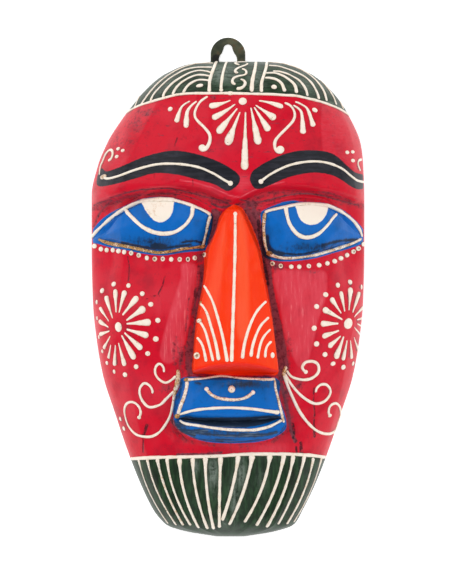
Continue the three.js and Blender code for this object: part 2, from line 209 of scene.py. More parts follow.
def tip_arc(p):
    return NOSE_TIP_ARC * ((p - NOSE_BASE_MIDDLE) / NOSE_BASE_WIDTH) ** 2


def lip_bow(p):
    return MOUTH_BOW * np.clip(np.abs(p - MOUTH_MIDDLE) / 0.4, 0, 1) ** 2


def brow_carving(p, q):
    above = (q - brow_line(p)) * MASK_LENGTH
    cut = BROW_CUT * ease(CHISEL_EDGE, -CHISEL_EDGE, above) * ease(0.45, 0.6, q)
    return BROW_ROLL * bell(above - 2 * CHISEL_EDGE, 0.005) - cut


def eye_carving(p, q):
    left = q - LEFT_CORNER[1] - (p - LEFT_CORNER[0])
    right = p - RIGHT_CORNER[0] + RIGHT_CORNER_LEAN * (q - RIGHT_CORNER[1])
    to_corner = np.where(p < BROW_MIDDLE, left, right) * HALF_WIDTH
    to_lids = np.minimum(upper_lid(p) - q, q - lower_lid(p)) * MASK_LENGTH
    lid_step = ease(-0.4 * CHISEL_EDGE, 0.6 * CHISEL_EDGE, to_lids)
    corner_step = ease(-0.6 * CHISEL_EDGE, 1.6 * CHISEL_EDGE, to_corner)
    swell = 0.55 + 0.45 * ease(0, 0.013, np.minimum(to_lids, to_corner))
    return EYE_RISE * lid_step * corner_step * swell


def nose_carving(p, q):
    across = np.abs(p - nose_middle(q)) / nose_half_width(q)
    outside = (across - 1) * nose_half_width(q) * HALF_WIDTH
    down = np.clip((NOSE_ROOT - q) / (NOSE_ROOT - NOSE_TIP), 0, 1)
    ridge = NOSE_ROOT_RISE + (NOSE_RISE - NOSE_ROOT_RISE) * down**0.8
    underside = ease(NOSE_BASE - 0.004, NOSE_TIP - tip_arc(p), q)
    wedge = (ridge - NOSE_EDGE_DROP * down * np.minimum(across, 1) ** 1.6) * underside
    sides = ease(0.6 * CHISEL_EDGE, -0.6 * CHISEL_EDGE, outside)
    body = sides * ease(0.712, 0.695, q)
    beside = bell(np.maximum(outside, 0), 0.008) * (1 - body)
    return wedge * body - NOSE_GROOVE * beside * ease(0.32, 0.37, q) * ease(0.7, 0.64, q)


def mouth_carving(p, q):
    across = (p - MOUTH_MIDDLE) / mouth_half_width(q)
    bowed = q - lip_bow(p) * ease(0.31, 0.26, q)
    outside = (np.abs(across) - 1) * mouth_half_width(q) * HALF_WIDTH
    block = (
        ease(0.7 * CHISEL_EDGE, -0.7 * CHISEL_EDGE, outside)
        * ease(LIP_CREASE - 0.014, LIP_CREASE + 0.006, bowed)
        * ease(LIP_PANEL_TOP + 0.006, LIP_PANEL_TOP - 0.004, q)
    )
    forward = ease(LIP_PANEL_TOP, UPPER_LIP, q)
    panel = LIP_PANEL_RISE + (LIP_RISE - LIP_PANEL_RISE) * forward
    lower = LIP_RISE * bell(bowed - LOWER_LIP, 0.022) + 0.001
    profile = np.where(bowed > MOUTH_LINE, panel, np.minimum(panel, lower))
    slit = MOUTH_CUT * bell(bowed - MOUTH_LINE, 0.0085) * ease(1.02, 0.7, np.abs(across))
    around = MUZZLE_CUT * bell(np.maximum(outside, 0), 0.009)
    around = around * ease(0.18, 0.23, q) * ease(0.36, 0.32, q)
    return block * (profile - slit) - around * (1 - block)


def beard_carving(p, q):
    step = BEARD_STEP * ease(BEARD_TOP + 0.004, BEARD_TOP - 0.004, q)
    return step + 0.0015 * bell(p + 0.03, 0.1) * ease(0.2, 0.1, q)


def carving(p, q):
    ends = ease(0, END_FADE, q) * ease(1, 1 - END_FADE, q)
    return ends * (
        brow_carving(p, q)
        + eye_carving(p, q)
        + nose_carving(p, q)
        + mouth_carving(p, q)
        + beard_carving(p, q)
    )


# What the knife leaves, finer than the carving
FACET_CELL = (0.015, 0.026)
FACET_DEPTH = 0.00032
FACET_SEED = 3
WAVE_HEIGHT = 0.00016
WAVE_LENGTH = 0.011
WAVE_SEED = 5
WANDER = 0.03
WANDER_LENGTH = 0.09
WANDER_SEED = 21
PLANE_SAG = 0.0007
NOSE_PLANE_SAG = 0.0005
LID_RIDGE = 0.0011
LID_RIDGE_UP = 0.0042
LID_RIDGE_WIDTH = 0.0011
FACE_PLANES = (-1.1, -0.8, -0.5, -0.27, 0, 0.3, 0.7, 0.93, 1.1)
BROW_PLANES = (-1.1, -0.82, -0.42, 0.12, 0.69, 0.93, 1.1)
NOSE_PLANES = (-1, -0.42, 0.05, 0.5, 1)


def scallops(x, y, cell, seed):
    """Squared distance, in cells, to the nearest of a jittered grid of chisel cuts."""
    side = 64
    jitter = np.random.default_rng(seed).uniform(-0.35, 0.35, (side, side, 2))
    u, v = x / cell[0] + side / 2, y / cell[1] + side / 2
    nearest = np.full(np.shape(x), 9.0)
    for step_i in (-1, 0, 1):
        for step_j in (-1, 0, 1):
            i = np.floor(u).astype(int) + step_i
            j = np.floor(v).astype(int) + step_j
            place = jitter[i % side, j % side]
            away = (u - i - 0.5 - place[..., 0]) ** 2 + (v - j - 0.5 - place[..., 1]) ** 2
            nearest = np.minimum(nearest, away)
    return nearest


def waves(x, y, length, seed, count=12):
    """Soft unevenness between about -1 and 1: a sum of waves of about one length."""
    rng = np.random.default_rng(seed)
    total = np.zeros(np.shape(x))
    for angle, phase, stretch in rng.uniform(0, 1, (count, 3)):
        turn = 2 * math.pi * angle
        size = length * (0.7 + 0.9 * stretch)
        along = (x * math.cos(turn) + y * math.sin(turn)) / size
        total += np.sin(2 * math.pi * (along + phase))
    return total / math.sqrt(count)


def planed(across, borders, sag):
    """Flattens a round surface into long planes that meet at borders."""
    borders = np.array(borders)
    i = np.clip(np.searchsorted(borders, across, side="right") - 1, 0, len(borders) - 2)
    share = np.clip((across - borders[i]) / (borders[i + 1] - borders[i]), 0, 1)
    return -4 * sag * share * (1 - share)


def hand_marks(p, q, x, y):
    """The planes and unevenness of hand carving, and the thin ridges above the eyes."""
    wander = WANDER * waves(x, y, WANDER_LENGTH, WANDER_SEED, 5)
    across = (p - outline_middle(q)) / outline_width(q) + wander
    on_nose = (p - nose_middle(q)) / nose_half_width(q)
    nose = ease(1.1, 0.95, np.abs(on_nose)) * ease(NOSE_BASE, NOSE_TIP, q) * ease(0.71, 0.69, q)
    forehead = ease(-0.004, 0.004, q - brow_line(p) - 0.01)
    planes = planed(across, FACE_PLANES, PLANE_SAG) * (1 - forehead)
    planes += planed(across, BROW_PLANES, PLANE_SAG) * forehead
    planes = planes * (1 - nose) + planed(on_nose, NOSE_PLANES, NOSE_PLANE_SAG) * nose
    flat = scallops(x, y, FACET_CELL, FACET_SEED) * FACET_DEPTH * (1 - nose)
    smooth = WAVE_HEIGHT * waves(x, y, WAVE_LENGTH, WAVE_SEED)
    over_lid = (q - upper_lid(p)) * MASK_LENGTH
    ridge = LID_RIDGE * bell(over_lid - LID_RIDGE_UP, LID_RIDGE_WIDTH)
    ridge = ridge * ease(0, 0.003, -over_lid + 0.009)
    return planes + flat + smooth + ridge


# The face as a fine grid, whose rows and columns follow the carved lines
ROW_GUIDES = (
    (lambda p: 0 * p, 0),
    (lambda p: END_FADE + 0 * p, 5),
    (lambda p: LIP_CREASE - 0.004 + 0 * p, 7),
    (lambda p: MOUTH_LINE + lip_bow(p), 7),
    (lambda p: LIP_PANEL_TOP + 0 * p, 6),
    (lambda p: NOSE_BASE + 0 * p, 1),
    (lambda p: NOSE_TIP - tip_arc(np.clip(p, -0.25, 0.35)), 3),
    (lower_lid, 9),
    (upper_lid, 6),
    (brow_line, 5),
    (lambda p: 1 - END_FADE + 0 * p, 11),
    (lambda p: 1 + 0 * p, 6),
)
FINENESS = 5
FACE_COLUMNS = 52 * FINENESS
INNER_COLUMNS = 16 * FINENESS
BUNCHING = 0.5
COLUMN_BUNCHING = 0.35
SIDE_BUNCHING = 0.75
WIDEST_FEATURE = 0.55
CARVED_ABOVE = (0.008, 0.030)
feature_half_width = curve_through(
    (0, 0.26), (LIP_CREASE, 0.31), (LOWER_LIP, 0.37), (MOUTH_LINE, 0.405), (0.28, 0.37),
    (LIP_PANEL_TOP, 0.33), (NOSE_BASE, 0.304), (0.456, 0.27), (0.576, 0.208),
    (0.64, 0.17), (0.7, 0.18), (0.8, 0.22), (1, 0.3),
)
feature_middle = curve_through(
    (0, MOUTH_MIDDLE), (LIP_PANEL_TOP, MOUTH_MIDDLE), (NOSE_BASE, NOSE_BASE_MIDDLE), (0.55, 0.045),
    (NOSE_ROOT, BROW_MIDDLE), (1, 0.06),
)


def row_heights(p):
    """Each row's height q, where its points lie at p."""
    q = np.zeros_like(p)
    first = 0
    for guide in range(1, len(ROW_GUIDES)):
        count = ROW_GUIDES[guide][1] * FINENESS
        rows = np.arange(first, first + count + 1)
        share = (np.arange(count + 1) / count)[:, None]
        low = ROW_GUIDES[guide - 1][0](p[rows])
        high = ROW_GUIDES[guide][0](p[rows])
        if guide == 1:
            share = 1 - np.cos(share * math.pi / 2)
        elif guide == len(ROW_GUIDES) - 1:
            share = np.sin(share * math.pi / 2)
        else:
            share = share - BUNCHING * np.sin(2 * math.pi * share) / (2 * math.pi)
        q[rows] = low + (high - low) * share
        first += count
    return q


def columns_across(q):
    """Each column's share across the outline, from -1 to 1."""
    number = np.arange(FACE_COLUMNS + 1) - FACE_COLUMNS / 2
    side, count = np.sign(number), np.abs(number)
    middle = (feature_middle(q) - outline_middle(q)) / outline_width(q)
    edge = np.minimum(feature_half_width(q) / outline_width(q), WIDEST_FEATURE)
    inner = count / (INNER_COLUMNS / 2)
    inner = inner + COLUMN_BUNCHING * np.sin(math.pi * inner) / math.pi
    outer = np.clip((count - INNER_COLUMNS / 2) / (FACE_COLUMNS - INNER_COLUMNS) * 2, 0, 1)
    outer = (1 - SIDE_BUNCHING) * outer + SIDE_BUNCHING * np.sin(outer * math.pi / 2)
    start = middle + side * edge
    near = middle + side * edge * inner
    return np.where(count <= INNER_COLUMNS / 2, near, start + (side - start) * outer)


def fullness(x, y, z):
    q = np.clip((y - CHIN_Y) / MASK_LENGTH, 0.0005, 0.9995)
    across = (x / HALF_WIDTH - outline_middle(q)) / outline_width(q)
    return np.abs(across) ** SECTION_POWER + np.abs(z / middle_depth(q)) ** SECTION_POWER


def dome_normal(points):
    step = 0.00005
    slopes = []
    for axis in range(3):
        shift = np.zeros(3)
        shift[axis] = step
        ahead = np.moveaxis(points + shift, -1, 0)
        behind = np.moveaxis(points - shift, -1, 0)
        slopes.append(fullness(*ahead) - fullness(*behind))
    normal = np.stack(slopes, -1)
    return normal / np.linalg.norm(normal, axis=-1, keepdims=True)


def carved_face():
    """The points of the carved face, as rows of columns."""
    rows = sum(count for _, count in ROW_GUIDES) * FINENESS
    p = np.zeros((rows + 1, FACE_COLUMNS + 1))
    for _ in range(6):
        q = row_heights(p)
        across = columns_across(q)
        p = outline_middle(q) + across * outline_width(q)
    across = np.clip(across, -1, 1)
    rise = (1 - np.abs(across) ** SECTION_POWER) ** (1 / SECTION_POWER)
    points = np.stack(
        [p * HALF_WIDTH, CHIN_Y + q * MASK_LENGTH, middle_depth(q) * rise], -1
    )
    height = carving(p, q) + hand_marks(p, q, points[..., 0], points[..., 1])
    out = height * ease(*CARVED_ABOVE, points[..., 2])
    out *= ease(0, 0.02, q) * ease(1, 0.98, q)
    points = points + dome_normal(points) * out[..., None]
    points[0, :, 2] = points[-1, :, 2] = 0
    points[:, 0, 2] = points[:, -1, 2] = 0
    return points


# Meshes
def mesh_from(name, points, faces, edges=()):
    mesh = bpy.data.meshes.new(name)
    mesh.from_pydata([tuple(point) for point in points], list(edges), faces)
    mesh.validate()
    mesh.update()
    return mesh


def object_from(name, data):
    piece = bpy.data.objects.new(name, data)
    bpy.context.scene.collection.objects.link(piece)
    return piece


def piece_from(name, points, faces=()):
    return object_from(name, mesh_from(name, points, faces))


def closed_dome(name, grid):
    """A closed piece from a grid whose border lies flat, with one flat face behind."""
    rows, columns = grid.shape[:2]
    number = np.arange(rows * columns).reshape(rows, columns)
    quads = np.stack(
        [number[:-1, :-1], number[:-1, 1:], number[1:, 1:], number[1:, :-1]], -1
    )
    faces = quads.reshape(-1, 4).tolist()
    around = [*number[0, :-1], *number[:-1, -1], *number[-1, :0:-1], *number[:0:-1, 0]]
    faces.append([int(i) for i in reversed(around)])
    return piece_from(name, grid.reshape(-1, 3), faces)


def coat(piece, *materials):
    for material in materials:
        piece.data.materials.append(material)
    return piece


def plain_mesh(piece):
    """What a piece's modifiers make, as a mesh of its own. The piece itself goes."""
    graph = bpy.context.evaluated_depsgraph_get()
    mesh = bpy.data.meshes.new_from_object(piece.evaluated_get(graph), depsgraph=graph)
    name = piece.name
    bpy.data.objects.remove(piece)
    mesh.name = name
    return object_from(name, mesh)


def cut_away(piece, *cutters):
    for cutter in cutters:
        cut = piece.modifiers.new("cut", "BOOLEAN")
        cut.operation = "DIFFERENCE"
        cut.solver = "MANIFOLD"
        cut.material_mode = "TRANSFER"
        cut.object = cutter
    piece = plain_mesh(piece)
    for cutter in cutters:
        bpy.data.objects.remove(cutter)
    return piece


def shade(mesh, crease):
    mesh.shade_smooth()
    mesh.set_sharp_from_angle(angle=math.radians(crease))


# The hollow behind the face, and the recess of the hanger plate
SIDE_LAND = 0.013
CROWN_LAND = 0.042
CHIN_LAND = 0.024
FACE_WALL = 0.020
HOLLOW_COLUMNS = 70
HOLLOW_ROWS = 110
GOUGE_CELL = (0.011, 0.017)
GOUGE_DEPTH = 0.0012
GOUGE_SEED = 11
GOUGED_ABOVE = (0.004, 0.012)
HOLLOW_END = 0.12
HOLLOW_ROUNDNESS = 0.8
CUT_MARGIN = 0.001
FIT_GAP = 0.0003


def hollow_cutter():
    low, high = CHIN_Y + CHIN_LAND, CROWN_Y - CROWN_LAND
    along = -np.cos(np.linspace(0, math.pi, HOLLOW_ROWS + 1))[:, None]
    turn = (np.linspace(0, 1, HOLLOW_COLUMNS + 1)[None, :] - 0.5) * math.pi
    end = np.sqrt(np.maximum(0, 1 - along**4))
    y = (low + high) / 2 + (high - low) / 2 * along
    q = (y - CHIN_Y) / MASK_LENGTH
    half = (outline_width(q) * HALF_WIDTH - SIDE_LAND) * np.maximum(end, HOLLOW_END)
    x = outline_middle(q) * HALF_WIDTH + half * np.sin(turn)
    bulge = np.maximum(np.cos(turn), 0) ** HOLLOW_ROUNDNESS
    z = (middle_depth(q) - FACE_WALL + CUT_MARGIN) * end * bulge
    y = y + 0 * x
    gouges = (0.35 - scallops(x, y, GOUGE_CELL, GOUGE_SEED)) * GOUGE_DEPTH
    z = z + gouges * ease(*GOUGED_ABOVE, z) - CUT_MARGIN
    z[0] = z[-1] = -CUT_MARGIN
    z[:, 0] = z[:, -1] = -CUT_MARGIN
    return closed_dome("hollow cutter", np.stack([x, y, z], -1))


def arc(centre, radius, start, end, steps=20):
    turns = np.radians(np.linspace(start, end, steps + 1))
    return [
        (centre[0] + radius * math.cos(a), centre[1] + radius * math.sin(a)) for a in turns
    ]


def bend(start, corner, end, steps=8):
    """A rounded corner from start to end."""
    shares = np.linspace(0, 1, steps + 1)[1:]
    return [
        tuple(
            (1 - t) ** 2 * start[i] + 2 * t * (1 - t) * corner[i] + t * t * end[i]
            for i in (0, 1)
        )
        for t in shares
    ]


HEAD_RADIUS = (plate_high.x - plate_low.x) / 2
HEAD_Y = plate_high.y - HEAD_RADIUS
HEAD_FOOT_Y = CROWN_Y - HEAD_RADIUS / 2
TAIL_HALF_WIDTH = 0.0075
PLATE_THICKNESS = plate_high.z - plate_low.z
KEYHOLE_RADIUS = 0.0058
KEYHOLE_Y = CROWN_Y + 0.001
SLOT_RADIUS = 0.0028
SLOT_Y = plate_high.y - 0.0045 - SLOT_RADIUS


def plate_outline(gap):
    half, tail, end = HEAD_RADIUS + gap, TAIL_HALF_WIDTH + gap, plate_low.y - gap
    corner = tail * 0.6
    waist = HEAD_FOOT_Y - 1.6 * corner
    foot, shoulder = (-half, HEAD_FOOT_Y), (-tail, waist)
    left = [foot, *bend(foot, (-half, HEAD_FOOT_Y - corner), shoulder)]
    left += [(-tail, end + corner)]
    left += bend((-tail, end + corner), (-tail, end), (corner - tail, end))
    right = [(-x, y) for x, y in reversed(left)]
    return arc((0, HEAD_Y), half, 0, 180)[1:-1] + left + right


def keyhole_outline():
    neck = math.degrees(math.asin(SLOT_RADIUS / KEYHOLE_RADIUS) + 0.25)
    hole = arc((0, KEYHOLE_Y), KEYHOLE_RADIUS, 90 + neck, 450 - neck, 28)
    return hole + arc((0, SLOT_Y), SLOT_RADIUS, 0, 180, 14)


def plate_recess_cutter():
    depth = PLATE_THICKNESS + FIT_GAP
    outline = plate_outline(FIT_GAP)
    points = [(x, y, z) for z in (-CUT_MARGIN, depth) for x, y in outline]
    count = len(outline)
    faces = [[i, (i + 1) % count, (i + 1) % count + count, i + count] for i in range(count)]
    faces += [list(reversed(range(count))), [i + count for i in range(count)]]
    return piece_from("recess cutter", points, faces)


# The paint's areas, drawn in the photograph's pixels
CAP_BORDER = (
    (118, 118.6), (127.8, 111.8), (137.4, 106.4), (150.6, 102), (162.5, 98.6), (173.4, 95.7),
    (182, 94.3), (194.8, 93.6), (213.9, 93.7), (230.2, 93.6), (252.2, 94.2), (271.3, 94.6),
    (285.5, 95.5), (295.7, 96.1), (307.8, 98.7), (320.6, 101.8), (333.3, 106.3), (342.9, 110.8),
    (349.8, 115.7), (357, 121),
)
BEARD_BORDER = (
    (124, 459.7), (131.9, 458.9), (155.1, 457.5), (190.2, 456.6), (221, 455.7), (239.3, 454.3),
    (260.3, 453.8), (288.4, 454), (309.4, 455.2), (325.6, 457.5), (334, 459),
)
LEFT_BROW = (
    (101.4, 167.8), (106.5, 171.3), (120.8, 166.7), (141.2, 158), (161.6, 152.4), (176.9, 150.9),
    (197.3, 154.5), (217.8, 161.6), (231, 168.8), (239.2, 175.9), (239.2, 183), (233.1, 189.2),
    (226.9, 191.2), (220.8, 188.2), (212.7, 184.1), (197.3, 180), (176.9, 174.9), (155.5, 173.4),
    (136.1, 178.5), (115.7, 184.1), (98.4, 186.1), (97, 177),
)
RIGHT_BROW = (
    (250.2, 176.9), (253.3, 170.8), (265.5, 162.7), (280.8, 155.5), (296.1, 151.4), (311.4, 150.4),
    (326.7, 151.9), (336.9, 156.5), (347.1, 165.7), (355.3, 172.3), (364, 174.9), (370, 182),
    (364, 188.2), (357.3, 189.2), (350.2, 186.1), (342, 180.5), (331.8, 175.4), (316.5, 172.9),
    (301.2, 174.4), (285.9, 178.5), (270.6, 185.1), (260.4, 189.2), (254.3, 188.2), (250.2, 182),
)
LEFT_EYE = (
    (84, 240), (92.2, 229.5), (102.2, 218.6), (113.7, 211), (123.7, 206.5), (141.2, 199.2),
    (157.6, 197), (171.8, 197.7), (187, 202), (198.4, 206.5), (211.6, 214), (213, 222), (210, 236),
    (206, 249), (202.5, 251), (184, 252.5), (163.7, 255.5), (145, 254), (128, 250.5),
    (110.6, 247.5), (96, 243.5), (84, 242),
)
RIGHT_EYE = (
    (260.6, 213), (268, 208), (276, 204.8), (284, 201.8), (294, 200.6), (301, 201.8),
    (311.4, 202.2), (326.7, 203.5), (342, 209.5), (352.2, 217), (361, 226), (368, 236), (372, 242),
    (363, 244), (348, 249), (331.8, 253.5), (316.5, 258), (301.2, 260.5), (289, 261.5), (276, 261),
    (265.5, 258), (262, 251), (261.5, 238), (261.2, 224),
)
LEFT_PUPIL = (
    (140.4, 199.6), (143, 205), (145.2, 209.6), (148.6, 214.6), (153, 219.4), (157, 221.8),
    (161.4, 222.4), (166, 220.6), (170, 217), (172.6, 212), (173.6, 205.6), (173.2, 199),
    (158, 197.8),
)
RIGHT_PUPIL = (
    (296, 203.4), (296.6, 210), (298.4, 216.4), (301.8, 221.4), (306.4, 224.2), (311.4, 225),
    (317, 223.8), (322.4, 220), (326, 214.6), (328, 208), (327.6, 204.4), (311.4, 202.8),
)
NOSE = (
    (236, 205), (230, 206.5), (220, 216), (216.6, 228), (211, 241), (205, 252), (203, 282),
    (198, 307.6), (194.8, 333), (193, 354), (192.6, 372), (204, 373.5), (218, 374.6), (236, 375.4),
    (251, 375.4), (266, 374.8), (278, 373.5), (276.4, 352), (272.6, 320), (268, 291), (263, 263),
    (260, 248), (253.6, 229), (244.4, 211),
)
NOSE_UNDER = (
    (196, 367), (206, 364.5), (218, 362.6), (232, 361.4), (247, 362), (262, 364.5), (273, 368.5),
    (277, 372.5), (262, 376), (236, 377), (212, 376), (196, 371.5),
)
MOUTH = (
    (184.6, 377), (230, 377.5), (276, 377.8), (279.4, 397), (285, 415), (286.5, 424),
    (284.7, 430.5), (272.4, 438), (252, 442.4), (221.4, 443), (201, 440.4), (185.7, 434),
    (176.5, 426.7), (173.6, 417.6), (173.8, 401), (179.5, 388),
)
# Each crack's places and half its width
CRACKS = (
    (((314, 388), (313.2, 400), (314.6, 412), (313.8, 424), (314.5, 437)), 0.6),
    (((314, 426), (314.3, 432), (314.5, 436)), 1.1),
    (((300.7, 443), (301.1, 448), (301.4, 453)), 1.5), (((296, 447), (296.6, 452)), 0.9),
    (((292.6, 424), (293.8, 431), (293.4, 438)), 1.2), (((178, 137), (176, 142), (175, 146)), 0.5),
    (((127.4, 256), (129.4, 267.6), (128.2, 282)), 0.5),
    (((165.5, 274.5), (162.7, 285), (158, 294), (151, 297.4), (142.6, 301)), 0.5),
    (((157, 294), (161.8, 299.5)), 0.4), (((147, 425), (145, 431), (143.4, 436)), 1.3),
    (((143.6, 436), (143.2, 444), (143, 452)), 0.5), (((155, 173), (154.4, 180)), 0.4),
    (((258.4, 221), (259, 232), (261, 244), (263.6, 256), (265.4, 270), (268, 284)), 1.5),
    (((193, 179), (193.6, 186)), 0.4),
)


def smoothed(points, steps=5, closed=False):
    """A Catmull-Rom curve through points."""
    points = np.asarray(points, float)
    if closed:
        padded = np.concatenate([points[-1:], points, points[:2]])
    else:
        ends = 2 * points[:1] - points[1:2], 2 * points[-1:] - points[-2:-1]
        padded = np.concatenate([ends[0], points, ends[1]])
    t = (np.arange(steps) / steps)[:, None]
    runs = []
    for a, b, c, d in zip(padded, padded[1:], padded[2:], padded[3:]):
        bow = (2 * a - 5 * b + 4 * c - d) * t + (3 * b - a - 3 * c + d) * t * t
        runs.append(b + 0.5 * t * ((c - a) + bow))
    if not closed:
        runs.append(points[-1:])
    return np.concatenate(runs)


def distance_to(x, y, line, closed=False):
    """Distance from each point to a line, and whether each point is within it."""
    ends = np.roll(line, -1, axis=0) if closed else line[1:]
    starts = line if closed else line[:-1]
    nearest = np.full(x.shape, 1.0)
    within = np.zeros(x.shape, bool)
    for a, b in zip(starts, ends):
        run = b - a
        share = ((x - a[0]) * run[0] + (y - a[1]) * run[1]) / max(run @ run, 1e-18)
        share = np.clip(share, 0, 1)
        away = np.hypot(x - a[0] - share * run[0], y - a[1] - share * run[1])
        nearest = np.minimum(nearest, away)
        if closed and a[1] != b[1]:
            crosses = (a[1] > y) != (b[1] > y)
            within ^= crosses & (x < a[0] + (y - a[1]) * run[0] / run[1])
    return nearest, within


def inside(x, y, *outlines):
    """Distance in from any of some outlines drawn in pixels, negative outside them all."""
    depths = []
    for outline in outlines:
        line = from_photo(smoothed(outline, closed=True))
        nearest, within = distance_to(x, y, line, closed=True)
        depths.append(np.where(within, nearest, -nearest))
    return np.max(depths, axis=0)


def above(x, y, border):
    """Distance above a line drawn in pixels from left to right."""
    line = from_photo(smoothed(border))
    nearest, _ = distance_to(x, y, line)
    return np.where(y > np.interp(x, line[:, 0], line[:, 1]), nearest, -nearest)


# The relief paste: lines that a nozzle laid, in the photograph's pixels
PASTE_LINE = 2.9


def line(points, *widths, age=0.0):
    """A line whose widths are spread evenly along it. Age is how brown it has gone."""
    return {"points": points, "widths": widths or (PASTE_LINE,), "age": age}


def dot(x, y, wide, long=None, age=0.0, pit=0.0):
    """A drop. A pit is where it burst as it dried, and the varnish filled it."""
    return {"place": (x, y), "wide": wide, "long": long or wide, "age": age, "pit": pit}


def dots_at(*rows):
    return [dot(*row) for row in rows]


# How fat a petal is from its start to its end, as shares of its fatness
PETAL_SHAPE = (0, 0.08, 0.24, 0.46, 0.72, 0.96, 1)


def petal(start, end, fat, thin=1.4, bow=0.0):
    """A drop that is thin at its start and round at its end, where end is the fat middle."""
    start, end = np.array(start), np.array(end)
    along = end - start
    along *= 1 + 0.55 * fat / np.hypot(*along)
    side = np.array([-along[1], along[0]]) * bow
    shares = np.linspace(0, 1, len(PETAL_SHAPE))
    points = [tuple(start + along * t + side * 4 * t * (1 - t)) for t in shares]
    return line(points, *[thin + (fat - thin) * share for share in PETAL_SHAPE])


CAP_LINES = [
    line(CAP_BORDER, 2.9),
    line(((216.8, 60.4), (213.3, 69.3), (211.2, 75.4), (209.6, 82), (209.2, 92.6)), 3, 3.6),
    line(((227, 60.2), (224, 69.3), (222.4, 76.4), (221.2, 85.6), (221.2, 90)), 2.5, 3.2),
    line(((256.2, 60.2), (255.1, 68.3), (253.3, 76.4), (252, 83.6), (251.6, 92.6)), 2.8, 4.6),
    line(((267.2, 60.4), (266, 68), (263.6, 75.8), (261.6, 83), (261.3, 92.8)), 2.6, 3.6),
    line(((210.2, 81), (204.8, 80.2), (197.8, 80.2), (191.3, 83.2), (186.9, 87), (184.2, 91.3),
          (183.3, 93.4)), 2.2, 3),
    line(((210.8, 76.7), (205.9, 75.6), (197.8, 75.1), (189.6, 77.8), (181.5, 82.6), (176.6, 87.5),
          (173.9, 91.9), (172.8, 95)), 2.2, 3.2),
    line(((211.3, 72.9), (204.8, 71), (197.8, 70.7), (189.6, 72.9), (181.5, 77.2), (173.4, 82.6),
          (167.9, 88.1), (164.2, 93.5), (163.1, 97.6)), 2.2, 3),
    line(((212.4, 67.5), (200.5, 67.2), (192.3, 68), (184.2, 70.2), (176.1, 74.5), (167.9, 79.9),
          (159.8, 87.5), (153.3, 95.1), (150.6, 101.4)), 2.2, 2.8),
    line(((213.6, 63.1), (203.2, 62.9), (192.3, 64.2), (180, 68.4), (169, 74.6), (159, 82.4),
          (151, 91), (145, 99), (140.8, 105.2)), 2, 2.8),
    line(((206, 60.3), (190, 62), (175, 67), (160, 75.5), (148, 85.5), (139, 97), (134.5, 107.5)),
         1.8, 2.2),
    line(((264.8, 78), (270.8, 78.3), (277.2, 80.2), (281.7, 84), (283.9, 89.4), (285.2, 92)), 2.4,
         4.2),
    line(((265.6, 73.2), (274.7, 73.2), (282.3, 75.7), (288.7, 79.6), (293.5, 83.7), (295.7, 88.2),
          (296.4, 93.6)), 2.2, 3.8),
    line(((272.8, 71.3), (279.1, 71.6), (287.4, 74.1), (295.7, 78.3), (300.8, 82.4), (304.6, 87.5),
          (306.9, 93.3), (307, 96.6)), 2.4, 3.2),
    line(((268.6, 65.5), (277.9, 66.2), (286.8, 68.7), (296.4, 72.5), (304.6, 76.7), (310.4, 81.8),
          (314.8, 88.2), (317.7, 94.5), (318.7, 99.6)), 2.2, 3.2),
    line(((267.6, 61.6), (279.1, 62.3), (285.5, 63.9), (295.7, 67.1), (304.6, 71.3), (312.9, 77.3),
          (319.3, 84.3), (323.8, 91.4), (326, 98.4), (326.6, 101.4)), 2, 3),
    line(((296, 65.2), (310, 71.5), (321, 80.5), (328.5, 89), (333.5, 97), (336.4, 105)), 2, 2.6),
    line(((330, 87.5), (337, 95.5), (341, 103), (343.4, 109)), 1.8, 2.4),
    line(((247.9, 62.6), (246.2, 64.9), (240.8, 67), (236.5, 69), (235.2, 71.3), (236, 72.9),
          (238.3, 72.9)), 2, 3),
    line(((241.8, 68.8), (245.4, 70.3), (246.4, 72.9), (244.4, 75.2), (238.8, 76.2), (233.9, 78.2),
          (232.4, 81), (233.2, 83.8), (235.7, 84.6)), 2, 3),
    line(((240.3, 79.2), (243.9, 80.8), (245.2, 83.6), (243.4, 86.9), (239.8, 88.9),
          (236.4, 88.7)), 2.2, 4),
    line(((239.6, 65), (236.4, 64.2), (235.2, 62.6), (239, 61.9), (247, 61.7)), 2.6, 2),
]
CAP_DOTS = dots_at(
    (199.7, 85.9, 7, 4.6), (274, 87.2, 5.8), (230.3, 93.6, 7.6, 4.6), (221.2, 90.4, 4.2),
)

